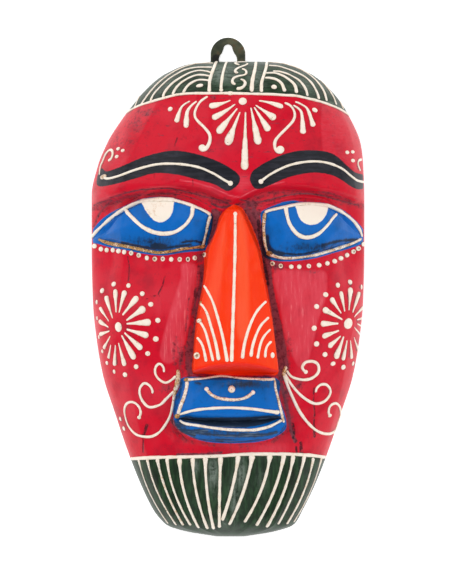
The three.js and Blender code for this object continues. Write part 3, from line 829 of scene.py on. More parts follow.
FLOWER_LINES = [
    petal((230.6, 100.6), (212.4, 105.6), 6.4, bow=-0.04),
    petal((235.2, 104.4), (215.4, 116.8), 6.8, bow=-0.03),
    petal((237.4, 108.6), (220, 130.4), 7.4),
    petal((240, 112.2), (228.6, 141.2), 8.2),
    petal((245.5, 112.4), (244.6, 166), 7.6, 1.5),
    petal((250.8, 107.8), (257.6, 140.4), 8.2, 1.6),
    petal((254, 107.4), (266.8, 127.8), 7.4),
    petal((255.5, 105.4), (272.4, 117.2), 6.6),
    petal((258.8, 101), (279.8, 106.6), 6, bow=-0.03),
    line(((208, 96.6), (200.4, 101.9), (195.8, 109.6), (194.8, 115.7), (197.3, 120.8),
          (204.5, 128), (209.6, 135.1), (209.6, 142.2), (206.5, 148.2), (202.6, 149.6),
          (200.8, 146.6)), 2.4, 2.4, 2.6, 2.8, 3, 3.4, 6),
    line(((284.4, 103), (291, 106.5), (294.6, 113.7), (293.1, 120.8), (286.9, 128), (279.8, 135.1),
          (275.2, 141.2), (274.7, 147.3), (277.2, 151.6), (281, 151.6), (282.2, 147.8)), 2.2, 2.6,
         2.8, 2.8, 3, 3.4, 5.6),
    line(((196.8, 101.4), (190.5, 107), (187.1, 113.7), (186.2, 128.2)), 1.8, 2, 3.6, 6.2, 7.2),
    line(((190.2, 101.4), (184, 105), (180.5, 109.6), (176.3, 122.8)), 1.8, 1.9, 3, 5.2, 6.2),
    line(((293.1, 105.5), (298.5, 109), (301.6, 114.4), (303, 134.2)), 1.8, 2.2, 3.8, 6, 7),
    line(((295.1, 101.9), (302, 105), (307.6, 110), (313.4, 127)), 1.8, 2, 3, 5, 6),
]
FLOWER_DOTS = dots_at(
    (242.7, 101.6, 8, 8), (170.3, 109.3, 4.6, 5), (314.7, 110.3, 5.6, 5.2), (202.2, 148.2, 7.6, 7),
    (280.2, 149.8, 7.4, 7.6), (244.6, 159.4, 3.4, 4.6, 0, 1),
)

BROW_LINES = [
    line(((102.4, 176.9), (108.6, 178.6), (120.8, 175.4), (136.1, 169.8), (156.5, 164.7),
          (176.9, 164.2), (197.3, 167.2), (212.7, 173.4), (222.9, 179.5), (231, 184.1)), 2.5),
    line(((260.4, 182), (270.6, 174.4), (285.9, 166.7), (301.2, 162.7), (316.5, 161.6),
          (329.8, 163.7), (342, 168.8), (350.2, 175.4), (357.3, 180.5), (365.5, 182)), 2.5),
    line(((99.4, 174.9), (100.4, 166.7), (103, 160.6), (105.5, 154.5), (109.6, 149.9),
          (112.7, 151.4), (112.7, 155.5), (110.6, 159.6), (107.8, 160.4)), 2.4, 3.2),
    line(((360.6, 171), (357.9, 164.7), (358.4, 160.6), (362.4, 159.1)), 2.4, 2.8),
]
BROW_DOTS = dots_at(
    (103.4, 176.8, 6, 5, 0.3, 0.4), (230.4, 183.6, 5.2, 5.4), (260.8, 181.8, 5.2, 5),
    (118.3, 148.9, 3.6), (122.9, 150.6, 3.4), (116.9, 156.7, 3.6), (347.1, 152.4, 3.8),
    (352.6, 151.9, 3.4), (352.8, 160.6, 3.8),
)

EYE_LINES = [
    line(((91, 238.5), (96, 231.7), (106.5, 221.8), (115, 215), (123.7, 209.3), (132, 205),
          (141, 201.8), (150, 200), (158.2, 199.4), (171.1, 199.8), (180, 201.8), (188.3, 204.3),
          (199.5, 208.8), (206, 212), (210.6, 215)), 3.6, 3.4, 4.2, 3.8, 4.4, 3.8, 3.6, 4.2),
    line(((210.4, 215.4), (208.6, 220.5), (207.3, 226.3), (206, 233.2), (204.2, 240.1),
          (202.8, 246)), 4.4, 4, 3.4, 3, age=0.3),
    line(((97.9, 239), (104, 241.4), (110.8, 243.5), (119, 245), (128, 246.6), (137, 248.4),
          (145.3, 250.2), (153, 251.8), (159.9, 252.4), (171.1, 251.1), (184, 248.7), (193, 247.6),
          (202, 246.4)), 3, 4, 3.4, 4.4, 3.6, 4.4, 3.8, 4, age=0.48),
    line(((124.6, 208.6), (128, 213), (133.2, 218.4), (141, 225.6), (148, 229.8), (154.6, 232.4),
          (164, 233.8), (175, 232), (184, 226.3), (189, 220.6), (192, 214.6), (192.8, 206.4)), 4.4,
         3.8, 4.2, 4.6, 4.2, 3.6, 3.6, 4.2, age=0.16),
    line(((264.4, 212.6), (268, 211.2), (272, 210), (282.9, 207.5), (297.1, 204.6), (311.4, 204),
          (326.7, 205.5), (335, 208.6), (342, 212.1), (352.2, 219.8), (358.9, 228), (361, 232.4),
          (362.2, 237)), 4, 3.6, 4.4, 4.2, 3.8, 3.6, 3.4),
    line(((264.8, 213), (264.1, 220), (263.7, 227), (264.2, 235), (265, 243), (267.2, 252)), 4.4,
         3.6, 3.4, 3.2, age=0.36),
    line(((362, 238.4), (355, 242), (347.1, 245.1), (331.8, 250.2), (316.5, 254.4), (301.2, 257.1),
          (289, 258), (279.8, 257.3), (271, 254.8), (267.6, 252)), 2.8, 3.4, 3, 3.6, 3.4, 4.4, 4.8,
         age=0.3),
    line(((285.4, 205.8), (286.4, 213), (288.8, 222.4), (293, 229.6), (298, 234.8), (303.4, 237.2),
          (308.6, 237.4), (314, 236), (320, 232.6), (327, 225.6), (333, 217.8), (336.9, 213.6)),
         4.6, 3.8, 4.2, 4.4, 3.6, 3.2, 2.6, age=0.1),
]
# Dots below the eyes, each with its place and how dark the pit in it is
LEFT_EYE_DOTS = (
    (94.3, 246, 0), (100.9, 249, 0), (106.7, 250, 0), (112.9, 250, 0), (118.6, 251, 0),
    (124.3, 252, 0), (131.3, 253, 0.5), (138.9, 255.3, 0.7), (147, 258, 0), (155, 259, 0.9),
    (162.9, 259, 0.7), (171.3, 259.4, 0), (179.8, 259.4, 0.6), (188, 259.4, 1), (194.8, 258, 0.5),
    (204.3, 254.8, 0.9),
)
RIGHT_EYE_DOTS = (
    (272.4, 263.7, 1), (280.6, 266, 0.9), (291.1, 266.8, 0), (299.1, 266.8, 0),
    (308.7, 266.1, 0.5), (319, 265.2, 0), (327.2, 263.3, 0), (334.6, 261.2, 0), (340.9, 258.3, 0),
    (347, 255.1, 0), (353.5, 251.6, 0.6), (358.4, 248.4, 0.6), (363.3, 244.1, 0),
)
EYE_DOTS = [dot(x, y, 4.4, 5.0, 0.06 + 0.2 * pit, pit) for x, y, pit in LEFT_EYE_DOTS]
EYE_DOTS += [dot(x, y, 4.6, 4.8, 0.06 + 0.2 * pit, pit) for x, y, pit in RIGHT_EYE_DOTS]
EYE_DOTS += [dot(202.6, 246.4, 5.6, 5.2, 0.5), dot(269.4, 253.6, 6.4, 5.6, 0.6, 0.6)]

NOSE_LINES = [
    line(((235.2, 213.8), (235, 250), (233.6, 300), (231.6, 361.6)), 3, 3.1, 3, 3.8, 3.8),
    line(((204, 285), (212, 300), (217, 315), (223, 338), (227.3, 361.6)), 2.4, 2.8, 3, 3.8),
    line(((200.7, 303), (206.5, 312), (211, 326), (216, 344), (218.8, 360)), 2.4, 2.6, 3, 3.4,
         age=0.12),
    line(((199, 320), (204.5, 329), (208, 340), (213.3, 361)), 2.4, 2.6, 3),
    line(((197, 337), (201.5, 343), (204, 350), (206.4, 361.6)), 2.4, 2.6, 3),
    line(((266.3, 301), (257, 311), (250, 325), (244.8, 342), (242.2, 358.4)), 2.4, 2.8, 3, 4),
    line(((268.8, 317), (261, 325), (256, 335), (252.5, 346), (250.8, 356.6)), 2.4, 2.8, 3.6),
    line(((270.6, 329), (264, 336), (260, 345), (257.4, 358.4)), 2.2, 2.6, 3),
    line(((271.5, 341), (267.6, 345), (265.6, 350), (265, 357.4)), 2.2, 2.6, 3),
]
NOSE_DOTS = dots_at(
    (196.9, 355.4, 6.2, 7, 0.3, 0.6), (272.4, 355, 4, 6), (235.3, 214, 4.4, 5),
    (200.9, 303.2, 4.4, 5.2, 0.5, 0.7), (199.2, 320.6, 4.2, 4.6, 0.3),
    (233.8, 294.6, 2.6, 2.8, 0, 1),
)

MOUTH_LINES = [
    line(((186, 379.8), (196, 379), (206, 378.2), (214, 376.8), (222, 376), (230, 376.8),
          (238, 378), (248, 378.6), (258, 379), (268, 379.4), (275, 379)), 3.6, 3, 3.4, 2.8, 3.6,
         3, 3.4, age=0.24),
    line(((187, 381), (186.8, 386.4), (184.4, 396), (181.4, 404), (178, 414)), 3.6, 3.2, 3.8, 3.2,
         age=0.3),
    line(((274.4, 380), (275.4, 388), (277.6, 397), (279.8, 406), (283.8, 422.6)), 3, 2.6, 3, 2.4,
         age=0.3),
    line(((206.8, 389.4), (211, 394), (217.6, 397.6), (225.5, 399), (233, 399.6), (241, 398.8),
          (247.6, 396.4), (252.6, 392.4)), 3.4, 2.8, 3.2, 3, 3.6, age=0.3),
    line(((179.4, 414.4), (185, 412.4), (192.7, 410.4), (201, 409), (210.4, 408.2), (221, 407.6),
          (232.4, 407.5), (243, 408), (254.4, 408.9), (265, 410.4), (276.6, 412)), 2.6, 3, 2.8, 3,
         3.4),
    line(((179.8, 419.6), (181.6, 421.8), (185.4, 423.4), (190.8, 424.4), (197.1, 425.2),
          (207, 426.8), (217.7, 428.2), (228, 429.2), (239.7, 429.7), (247, 429.8), (254.4, 429.6),
          (262, 428.2), (269, 426.4), (276, 423.2), (282, 419.8)), 3, 3.4, 3, 3.2, 3.4, 3, 3.2,
         age=0.2),
]
MOUTH_DOTS = dots_at(
    (206.6, 388.8, 4.4), (253, 392.2, 4.4), (231.6, 389, 7.6, 7.6, 0.28),
    (177.4, 415.8, 6, 5.6, 0.5), (276.8, 412, 5.4, 4.8, 0.2), (186.6, 379.4, 6, 5.4, 0.5),
)

SCROLL_LINES = [
    line(((178, 369.4), (178.3, 376.3), (177.2, 384.3), (175, 391.4), (173.4, 401.6)), 3, 5.2, 5,
         3.6, 2.6, age=0.35),
    line(((176.2, 375.8), (170.4, 380.6), (165.8, 382.5), (161, 380.6), (157, 376.7),
          (155.2, 371.8), (155.9, 366.9), (158.9, 363.8), (161.8, 364.7), (163.9, 368.2),
          (164, 372.2)), 2.8, 2.5, 2.5, 2.4),
    line(((174.4, 391), (171, 394), (166.3, 398.7), (160, 404.6), (150.2, 407.1), (144.3, 403.1),
          (140.3, 395.7), (140, 388.2), (144.4, 383.2), (149.5, 385.4), (152.4, 389.9),
          (152.6, 393.4)), 2.8, 2.6, 2.8, 2.6, 2.6),
    line(((173.6, 399), (172.6, 406), (171, 413), (167.8, 420.7), (160.5, 431), (152.4, 436.1),
          (143.6, 436.5), (135.5, 433.9), (128.9, 426.5), (125.6, 417.7), (124.5, 408.9),
          (127.5, 403.1), (133.3, 402.1), (138.5, 406), (140.9, 411.9), (139.4, 417.2)), 2.6, 2.6,
         2.8, 2.5, 2.5, 2.8),
    line(((285.2, 367.4), (284.2, 371), (283.4, 376)), 2.8, 4.2, 4, age=0.4),
    line(((286.6, 370.2), (289, 374), (293.2, 377.4), (302.8, 379.6), (311.6, 378.1), (318, 372.3),
          (318, 364.9), (313, 361.4), (305.7, 362.1), (302.2, 366.4), (303.5, 370.1),
          (306.3, 372.2)), 2.4, 2.6, 3, 3.4, 3.2, 3, 2.8),
    line(((284.8, 373.6), (291, 384), (299.8, 394.3), (308.6, 400.9), (316, 403.6), (324, 401.4),
          (329.2, 395.7), (330.3, 389.9), (326.2, 384.7), (320.4, 384.7), (316.4, 388.4),
          (315.7, 392.4)), 2.6, 2.8, 3, 3, 2.8, 2.6),
    line(((283.8, 374.6), (288.1, 386.9), (293.2, 398.7), (299.8, 411.9), (308.6, 423.6),
          (317.4, 431), (326.2, 433.9), (333.6, 432.2), (338.5, 425.1), (340.7, 413.4),
          (339.2, 406), (335, 403.3), (330, 406), (328.4, 411.9), (329.9, 415.4)), 3, 3, 3.2, 2.8,
         3, 2.6, 2.8, age=0.15),
]
SCROLL_DOTS = dots_at(
    (139.2, 417.4, 3.6), (305.6, 371.8, 4.2), (329.8, 415.6, 3.6), (285.4, 368, 4, 4.4, 0.4),
)

# The beard's stripes: half-way bow, top, foot, width and age of each
BEARD_STRIPES = (
    (-4.4, (138.8, 459), (168.3, 524), 1.9, 0.14), (-4.3, (147.4, 459), (176.5, 525.4), 2.2, 0.22),
    (-3.6, (157.3, 458.4), (183.5, 525.6), 2.5, 0.25),
    (-4.5, (167.1, 458), (190.8, 525.6), 2.6, 0.2),
    (-4.6, (179.5, 457.6), (198.9, 528.4), 2.9, 0.14),
    (-3.6, (192.7, 457.4), (207.8, 529.2), 2.9, 0.14),
    (-2.3, (205.4, 457), (213.8, 529.2), 3.1, 0.14),
    (-0.4, (220.7, 456.4), (219.4, 527.8), 3.2, 0.1),
    (1.9, (238.4, 455), (222.1, 520.6), 3.4, 0.14), (3.2, (252.4, 454.6), (229, 524.8), 3.4, 0.1),
    (4.4, (270, 454.4), (244.3, 522.4), 3.3, 0.1), (3.9, (283.9, 454.6), (256.2, 525.8), 3.2, 0.1),
    (3.9, (293.4, 454.8), (266.5, 527.6), 3.1, 0.14),
    (3.2, (304.4, 455.4), (277.8, 524.6), 3, 0.14), (4, (313.2, 457.6), (286.6, 524.4), 2.8, 0.2),
    (3.4, (321.4, 457.2), (293.6, 522.4), 2.3, 0.18),
)


def beard_stripe(bow, top, foot, wide, age):
    """A bowed stripe that flares where it leaves the border."""
    shares = np.linspace(0, 1, 7)
    points = [
        (top[0] + (foot[0] - top[0]) * t + 4 * bow * t * (1 - t), top[1] + (foot[1] - top[1]) * t)
        for t in shares
    ]
    return line(points, 1.9 * wide, 1.15 * wide, wide, *[0.95 * wide] * 12, 1.1 * wide, age=age)


BEARD_LINES = [line(BEARD_BORDER, 3.6)]
BEARD_LINES += [beard_stripe(*stripe) for stripe in BEARD_STRIPES]

# The flowers on the cheeks, which the curving cheek foreshortens towards the sides. Each
# petal has its start, its end and its width.
LEFT_CHEEK_PETALS = (
    ((116.3, 312.6), (115.5, 292.6), 5.2), ((119.1, 312.8), (124.2, 293.8), 5.2),
    ((122.5, 315.3), (135.5, 299.4), 5.8), ((126.3, 320.5), (142, 309.8), 6.4),
    ((126.3, 323.8), (147.6, 322.3), 6.6), ((126.5, 329.2), (145.2, 334.8), 6.4),
    ((124.4, 332.6), (139.4, 346.6), 5.8), ((121.6, 335), (132.9, 355.6), 6.2),
    ((118.6, 342.8), (124.2, 363), 4.6), ((115.5, 344.8), (114.8, 363), 4.2),
    ((110.9, 344.6), (108.8, 356.8), 3), ((110.5, 335.8), (104.6, 347), 3.4),
    ((110.2, 330.8), (101.8, 333.8), 5), ((109, 327.4), (101.2, 322.4), 4.6),
    ((109, 321.4), (100.8, 309), 3.6), ((112.8, 318.4), (106.8, 299), 5),
)
RIGHT_CHEEK_PETALS = (
    ((348.8, 310.4), (350.3, 291), 5.4), ((352.5, 312.7), (358.4, 295), 5.2),
    ((353.8, 317.2), (363.2, 307), 3.4), ((356.2, 320), (363, 318.2), 3.2),
    ((356.6, 323.5), (362.6, 326.8), 2.4), ((354, 326.9), (361, 335.6), 2.8),
    ((353.9, 337), (357.9, 349.6), 3.2), ((350.4, 340.2), (351.3, 356), 4.4),
    ((347.1, 340.2), (343.4, 357.4), 4.6), ((343.7, 336.2), (336.9, 354.8), 6.4),
    ((340.9, 335.8), (330.8, 344.8), 5.6), ((339.4, 330.4), (325, 335.6), 5.6),
    ((338.8, 323.5), (323.8, 323.6), 6.2), ((342.7, 319.8), (325.8, 310.4), 5.8),
    ((341.3, 313.6), (332.4, 300.4), 4.8), ((344.7, 311.6), (341.2, 294.4), 4.8),
)
LEFT_CHEEK_DOTS = (
    (113.8, 284.1, 4.2, 5.2), (128.6, 285.6, 4.6, 4.8), (142.4, 293.7, 5, 5), (150.9, 304.3, 5, 5),
    (158, 320.3, 5.6, 5.2), (156, 338.9, 6, 5.6), (147.9, 353.5, 5, 5), (136.3, 366.6, 4.8, 5),
    (125.2, 374.6, 4, 5), (114.2, 371.6, 2.4, 4.4), (106.9, 363, 2.4, 4.2), (102.3, 351.3, 2.2, 4),
    (98.8, 337, 1.8, 4), (97, 318.2, 1.8, 4.2), (96.6, 302.1, 2.2, 4.6), (102.1, 290.7, 3.6, 5.4),
    (120.3, 419, 2.4, 4.6), (123.9, 428.6, 2.8, 4.8),
)
RIGHT_CHEEK_DOTS = (
    (350, 282.1, 4.2, 5.2), (361.6, 287, 2.4, 5), (337.7, 285.2, 4.4, 5.4), (325.5, 294.6, 5, 5.2),
    (316.5, 306.5, 5.4, 5.2), (314, 328.1, 5.4, 5.6), (316.4, 343.8, 5.2, 5.6),
    (324.8, 354.4, 5.2, 5.2), (332.9, 363.6, 4.4, 4.6), (343.3, 367.2, 4.2, 5.2),
    (353, 363.6, 3, 4.6),
)
STEEP_GAIN = 0.22


def cheek_petal(start, end, fat):
    """A petal that is laid thicker the steeper it runs, because the cheek turns away there."""
    steep = abs(end[1] - start[1]) / math.dist(start, end)
    return petal(start, end, fat * (1 + STEEP_GAIN * steep), max(1.1, 0.3 * fat))


def cheek_flower(petals, *rows):
    return [cheek_petal(*petal_row) for petal_row in petals], dots_at(*rows)


LEFT_CHEEK = cheek_flower(LEFT_CHEEK_PETALS, (118.5, 327, 6.4, 9.8), *LEFT_CHEEK_DOTS)
RIGHT_CHEEK = cheek_flower(RIGHT_CHEEK_PETALS, (348.2, 323.6, 8.0, 11), *RIGHT_CHEEK_DOTS)

PASTE = {
    "cap_lines": (CAP_LINES, CAP_DOTS),
    "forehead_flower": (FLOWER_LINES, FLOWER_DOTS),
    "brow_lines": (BROW_LINES, BROW_DOTS),
    "eye_lines": (EYE_LINES, EYE_DOTS),
    "nose_lines": (NOSE_LINES, NOSE_DOTS),
    "mouth_lines": (MOUTH_LINES, MOUTH_DOTS),
    "cheek_scrolls": (SCROLL_LINES, SCROLL_DOTS),
    "cheek_flower_left": LEFT_CHEEK,
    "cheek_flower_right": RIGHT_CHEEK,
    "beard_lines": (BEARD_LINES, []),
}


def line_radii(places, drawn):
    """Half the width at each place along a drawn line, in metres."""
    steps = np.hypot(*np.diff(places, axis=0).T)
    share = np.concatenate([[0], np.cumsum(steps)]) / steps.sum()
    widths = drawn["widths"]
    return np.interp(share, np.linspace(0, 1, len(widths)), widths) * PIXEL / 2


# Nodes, for Geometry Nodes trees and for materials
VECTOR = "FLOAT_VECTOR"


class Value:
    """What varies from place to place. Arithmetic on a number adds Math nodes."""

    def __init__(self, nodes, socket):
        self.nodes, self.socket = nodes, socket

    def _maths(self, operation, *values):
        return self.nodes.value("ShaderNodeMath", {"operation": operation}, *values)

    def __add__(self, other):
        return self._maths("ADD", self, other)

    def __sub__(self, other):
        return self._maths("SUBTRACT", self, other)

    def __rsub__(self, other):
        return self._maths("SUBTRACT", other, self)

    def __mul__(self, other):
        return self._maths("MULTIPLY", self, other)

    def __truediv__(self, other):
        return self._maths("DIVIDE", self, other)

    __radd__, __rmul__ = __add__, __mul__

    def squared(self):
        return self._maths("POWER", self, 2.0)

    def root(self):
        return self._maths("SQRT", self)

    def less_of(self, other):
        return self._maths("MINIMUM", self, other)

    def more_of(self, other):
        return self._maths("MAXIMUM", self, other)

    def below(self, other):
        return self._maths("LESS_THAN", self, other)

    def rising(self, low, high):
        """0 below low, 1 above high, and smooth between. Low may be above high."""
        settings = {"interpolation_type": "SMOOTHSTEP"}
        return self.nodes.value(
            "ShaderNodeMapRange", settings, Value=self, From_Min=low, From_Max=high
        )


class Nodes:
    """A node tree under construction."""

    def node(self, kind, settings=None, *in_order, **by_name):
        """Adds a node: its settings, then its inputs, the first ones in order."""
        node = self.tree.nodes.new(kind)
        for setting, value in (settings or {}).items():
            setattr(node, setting, value)
        sockets = list(zip(node.inputs, in_order))
        for label, value in by_name.items():
            name = label.replace("_", " ")
            sockets.append((next(s for s in node.inputs if s.name == name and s.enabled), value))
        for socket, value in sockets:
            value = value.socket if isinstance(value, Value) else value
            if isinstance(value, bpy.types.NodeSocket):
                self.tree.links.new(value, socket)
            else:
                socket.default_value = value
        return node

    def out(self, *node, **by_name):
        """Adds a node and gives the first of its outputs that is in use."""
        return next(s for s in self.node(*node, **by_name).outputs if s.enabled)

    def value(self, *node, **by_name):
        return Value(self, self.out(*node, **by_name))


class Tree(Nodes):
    """A Geometry Nodes tree. It ends as a real mesh with one material."""

    def __init__(self, name, **inputs):
        self.tree = bpy.data.node_groups.new(name, "GeometryNodeTree")
        face = self.tree.interface
        face.new_socket("Geometry", in_out="INPUT", socket_type="NodeSocketGeometry")
        self.names = {}
        for label, kind in inputs.items():
            socket = face.new_socket(label, in_out="INPUT", socket_type=f"NodeSocket{kind}")
            self.names[label] = socket.identifier
        face.new_socket("Geometry", in_out="OUTPUT", socket_type="NodeSocketGeometry")
        self.entry = self.tree.nodes.new("NodeGroupInput")

    def given(self, label):
        return self.entry.outputs[label]

    def vector(self, operation, *values):
        return self.value("ShaderNodeVectorMath", {"operation": operation}, *values)

    def scaled(self, vector, factor):
        return self.value("ShaderNodeVectorMath", {"operation": "SCALE"}, vector, Scale=factor)

    def part(self, vector, axis):
        return Value(self, self.node("ShaderNodeSeparateXYZ", None, vector).outputs[axis])

    def named(self, name, kind="FLOAT"):
        return self.value("GeometryNodeInputNamedAttribute", {"data_type": kind}, Name=name)

    def stored(self, geometry, name, value, kind="FLOAT"):
        return self.out(
            "GeometryNodeStoreNamedAttribute", {"data_type": kind, "domain": "POINT"},
            Geometry=geometry, Name=name, Value=value,
        )

    def moved(self, geometry, place):
        return self.out("GeometryNodeSetPosition", Geometry=geometry, Position=place)

    def blurred(self, value, kind="FLOAT"):
        return self.out(
            "GeometryNodeBlurAttribute", {"data_type": kind}, Value=value, Iterations=6
        )

    def shape_of(self, label):
        info = self.node("GeometryNodeObjectInfo", Object=self.given(label))
        return info.outputs["Geometry"]

    def down_to_wood(self, point):
        """Whether the wood is below a point, where, and which way its surface faces."""
        ray = self.node(
            "GeometryNodeRaycast", {"data_type": "FLOAT"},
            Target_Geometry=self.shape_of("Wood"),
            Source_Position=self.vector("ADD", point, (0, 0, RAY_START)),
            Ray_Direction=(0, 0, -1), Ray_Length=2 * RAY_START,
        )
        return [Value(self, ray.outputs[name]) for name in ("Is Hit", "Hit Position", "Hit Normal")]

    def nearest_on_wood(self, point):
        node = self.node(
            "GeometryNodeProximity", {"target_element": "FACES"}, self.shape_of("Wood")
        )
        self.tree.links.new(point, next(s for s in node.inputs if s.name.endswith("Position")))
        return node.outputs["Position"]

    def finish(self, geometry):
        last = self.tree.nodes.new("NodeGroupOutput")
        real = self.out("GeometryNodeRealizeInstances", Geometry=geometry)
        coated = self.out(
            "GeometryNodeSetMaterial", Geometry=real, Material=self.given("Material")
        )
        self.tree.links.new(coated, last.inputs[0])
        return self

    def apply_to(self, piece, **values):
        """Runs the tree on a piece and gives the plain mesh back in its place."""
        step = piece.modifiers.new(self.tree.name, "NODES")
        step.node_group = self.tree
        for label, value in values.items():
            step[self.names[label]] = value
        return plain_mesh(piece)


# The beads and drops of paste
BEAD_SPACING = 0.00045
BEAD_TOP = 0.00095
BEAD_ROUNDNESS = 0.78
BEAD_UNEVENNESS = 0.85
BEAD_LOWEST = 0.0025
BEAD_END = 1.03
BEAD_WANDER = 190.0
NARROWEST_DROP = 0.5
PASTE_SEED = 7
RAY_START = 0.2


def bead_tree():
    """Lays beads of paste along flat curves: down onto the wood, with rounded ends."""
    tree = Tree(
        "beads of relief paste", Wood="Object", Spacing="Float", Top="Float", Roundness="Float",
        Unevenness="Float", Lowest="Float", Seed="Int", Material="Material",
    )
    curve = tree.out("GeometryNodeMeshToCurve", Mesh=tree.given("Geometry"))
    curve = tree.out("GeometryNodeCurveSplineType", {"spline_type": "CATMULL_ROM"}, Curve=curve)
    curve = tree.out(
        "GeometryNodeResampleCurve", {"mode": "LENGTH"}, Curve=curve, Length=tree.given("Spacing")
    )

    # Each bead's half width, which swings a little and shrinks towards both ends
    here = tree.out("GeometryNodeInputPosition")
    radius = tree.named("wide")
    run = Value(tree, tree.node("GeometryNodeSplineParameter").outputs["Length"])
    to_end = run.less_of(tree.value("GeometryNodeSplineLength") - run)
    share = (to_end / radius).less_of(1.0)
    round_end = (BEAD_END - (1.0 - share).squared()).root()
    wander = tree.value(
        "ShaderNodeTexNoise", {"noise_dimensions": "4D"},
        Vector=here, W=tree.given("Seed"), Scale=BEAD_WANDER, Detail=2.0,
    )
    even = radius * ((wander - 0.5) * tree.given("Unevenness") + 1.0)
    curve = tree.stored(curve, "width", even * round_end)

    # Down onto the wood, where there is any, and evened across the cuts
    hit, place, facing = tree.down_to_wood(here)
    low = tree.part(place, "Z").below(tree.given("Lowest"))
    curve = tree.stored(curve, "kept", hit - low)
    curve = tree.stored(curve, "facing", facing, VECTOR)
    curve = tree.moved(curve, place)
    curve = tree.out(
        "GeometryNodeDeleteGeometry", {"domain": "POINT"},
        Geometry=curve, Selection=tree.named("kept").below(0.5),
    )
    level = tree.blurred(tree.part(here, "Z"))
    evened = tree.out(
        "ShaderNodeCombineXYZ", X=tree.part(here, "X"), Y=tree.part(here, "Y"), Z=level
    )
    curve = tree.moved(curve, tree.nearest_on_wood(evened))
    curve = tree.stored(curve, "middle", here, VECTOR)
    facing = tree.blurred(tree.named("facing", VECTOR), VECTOR)
    curve = tree.stored(curve, "facing", tree.vector("NORMALIZE", facing), VECTOR)

    # A tube round the curve, pressed flat towards the wood
    ring = tree.out("GeometryNodeCurvePrimitiveCircle", Resolution=10, Radius=1.0)
    width, middle = tree.named("width"), tree.named("middle", VECTOR)
    bead = tree.out(
        "GeometryNodeCurveToMesh", Curve=curve, Profile_Curve=ring, Scale=width, Fill_Caps=True
    )
    facing = tree.named("facing", VECTOR)
    offset = tree.vector("SUBTRACT", here, middle)
    rise = tree.vector("DOT_PRODUCT", offset, facing)
    flat = tree.vector("SUBTRACT", offset, tree.scaled(facing, rise))
    press = tree.value("ShaderNodeMath", {"operation": "DIVIDE"}, tree.given("Top"), width)
    raised = tree.scaled(facing, rise * press.less_of(tree.given("Roundness")))
    set_down = tree.vector("ADD", middle, tree.vector("ADD", flat, raised))
    bead = tree.stored(tree.moved(bead, set_down), "crest", rise / width)
    return tree.finish(tree.out("GeometryNodeSetShadeSmooth", Geometry=bead))


def drop_tree():
    """Sets round drops of paste on the wood, one at each point."""
    tree = Tree(
        "drops of relief paste", Wood="Object", Top="Float", Roundness="Float",
        Narrowest="Float", Seed="Int", Material="Material",
    )
    here = tree.out("GeometryNodeInputPosition")
    hit, place, facing = tree.down_to_wood(here)
    points = tree.moved(tree.stored(tree.given("Geometry"), "facing", facing, VECTOR), place)
    ball = tree.out("GeometryNodeMeshUVSphere", Segments=20, Rings=12, Radius=1.0)
    ball = tree.stored(ball, "crest", tree.part(here, "Z"))
    facing = tree.named("facing", VECTOR)
    turn = tree.out(
        "FunctionNodeAlignRotationToVector", {"axis": "Z", "pivot_axis": "AUTO"}, Vector=facing
    )
    lost = tree.part(facing, "X").squared() / (tree.part(facing, "Z") + 1.0)
    seen = (1.0 - lost).more_of(tree.given("Narrowest"))
    chance = tree.value(
        "FunctionNodeRandomValue", {"data_type": "FLOAT"}, Min=0.93, Max=1.07,
        Seed=tree.given("Seed"),
    )
    wide = tree.named("wide")
    top = (wide * tree.given("Roundness")).less_of(tree.given("Top"))
    across = wide * chance / seen
    size = tree.out("ShaderNodeCombineXYZ", X=across, Y=tree.named("long"), Z=top)
    drops = tree.out(
        "GeometryNodeInstanceOnPoints", Points=points, Selection=hit, Instance=ball,
        Rotation=turn, Scale=size,
    )
    return tree.finish(tree.out("GeometryNodeSetShadeSmooth", Geometry=drops))


def store(mesh, name, values):
    data = mesh.attributes.new(name, "FLOAT", "POINT").data
    data.foreach_set("value", np.asarray(values, np.float32))


def drawn_lines(name, lines):
    """The lines of a group as flat chains of edges, with their width and age."""
    points, edges, radii, ages = [], [], [], []
    for drawn in lines:
        places = from_photo(drawn["points"])
        first = len(points)
        points += [(x, y, 0) for x, y in places]
        edges += [(i, i + 1) for i in range(first, len(points) - 1)]
        radii += list(line_radii(places, drawn))
        ages += [drawn["age"]] * len(places)
    mesh = mesh_from(name, points, [], edges)
    store(mesh, "wide", radii)
    store(mesh, "age", ages)
    return object_from(name, mesh)


def drawn_dots(name, dots):
    """The dots of a group as loose points, with their sizes and ages."""
    places = from_photo([drawn["place"] for drawn in dots])
    piece = piece_from(name, [(x, y, 0) for x, y in places])
    for label, scale in (("wide", PIXEL / 2), ("long", PIXEL / 2), ("age", 1), ("pit", 1)):
        store(piece.data, label, [drawn[label] * scale for drawn in dots])
    return piece


def joined(name, parts):
    """One piece from several plain meshes."""
    with bpy.context.temp_override(
        active_object=parts[0], selected_editable_objects=parts, selected_objects=parts
    ):
        bpy.ops.object.join()
    parts[0].name = parts[0].data.name = name
    return parts[0]


def paste_piece(name, lines, dots, beads, drops, wood, material):
    """One group of relief paste, as a plain mesh on the wood."""
    shared = {
        "Wood": wood, "Top": BEAD_TOP, "Roundness": BEAD_ROUNDNESS, "Seed": PASTE_SEED,
        "Material": material,
    }
    beads_only = {"Spacing": BEAD_SPACING, "Unevenness": BEAD_UNEVENNESS, "Lowest": BEAD_LOWEST}
    parts = [beads.apply_to(drawn_lines(name, lines), **shared, **beads_only)]
    if dots:
        parts.append(drops.apply_to(drawn_dots(name, dots), **shared, Narrowest=NARROWEST_DROP))
    return joined(name, parts)


# Materials
def colour(red, green, blue):
    """A colour as it shows on a screen, 0 to 255, as the shader's linear values."""
    shares = [value / 255 for value in (red, green, blue)]
    return tuple(s / 12.92 if s <= 0.04045 else ((s + 0.055) / 1.055) ** 2.4 for s in shares) + (1,)


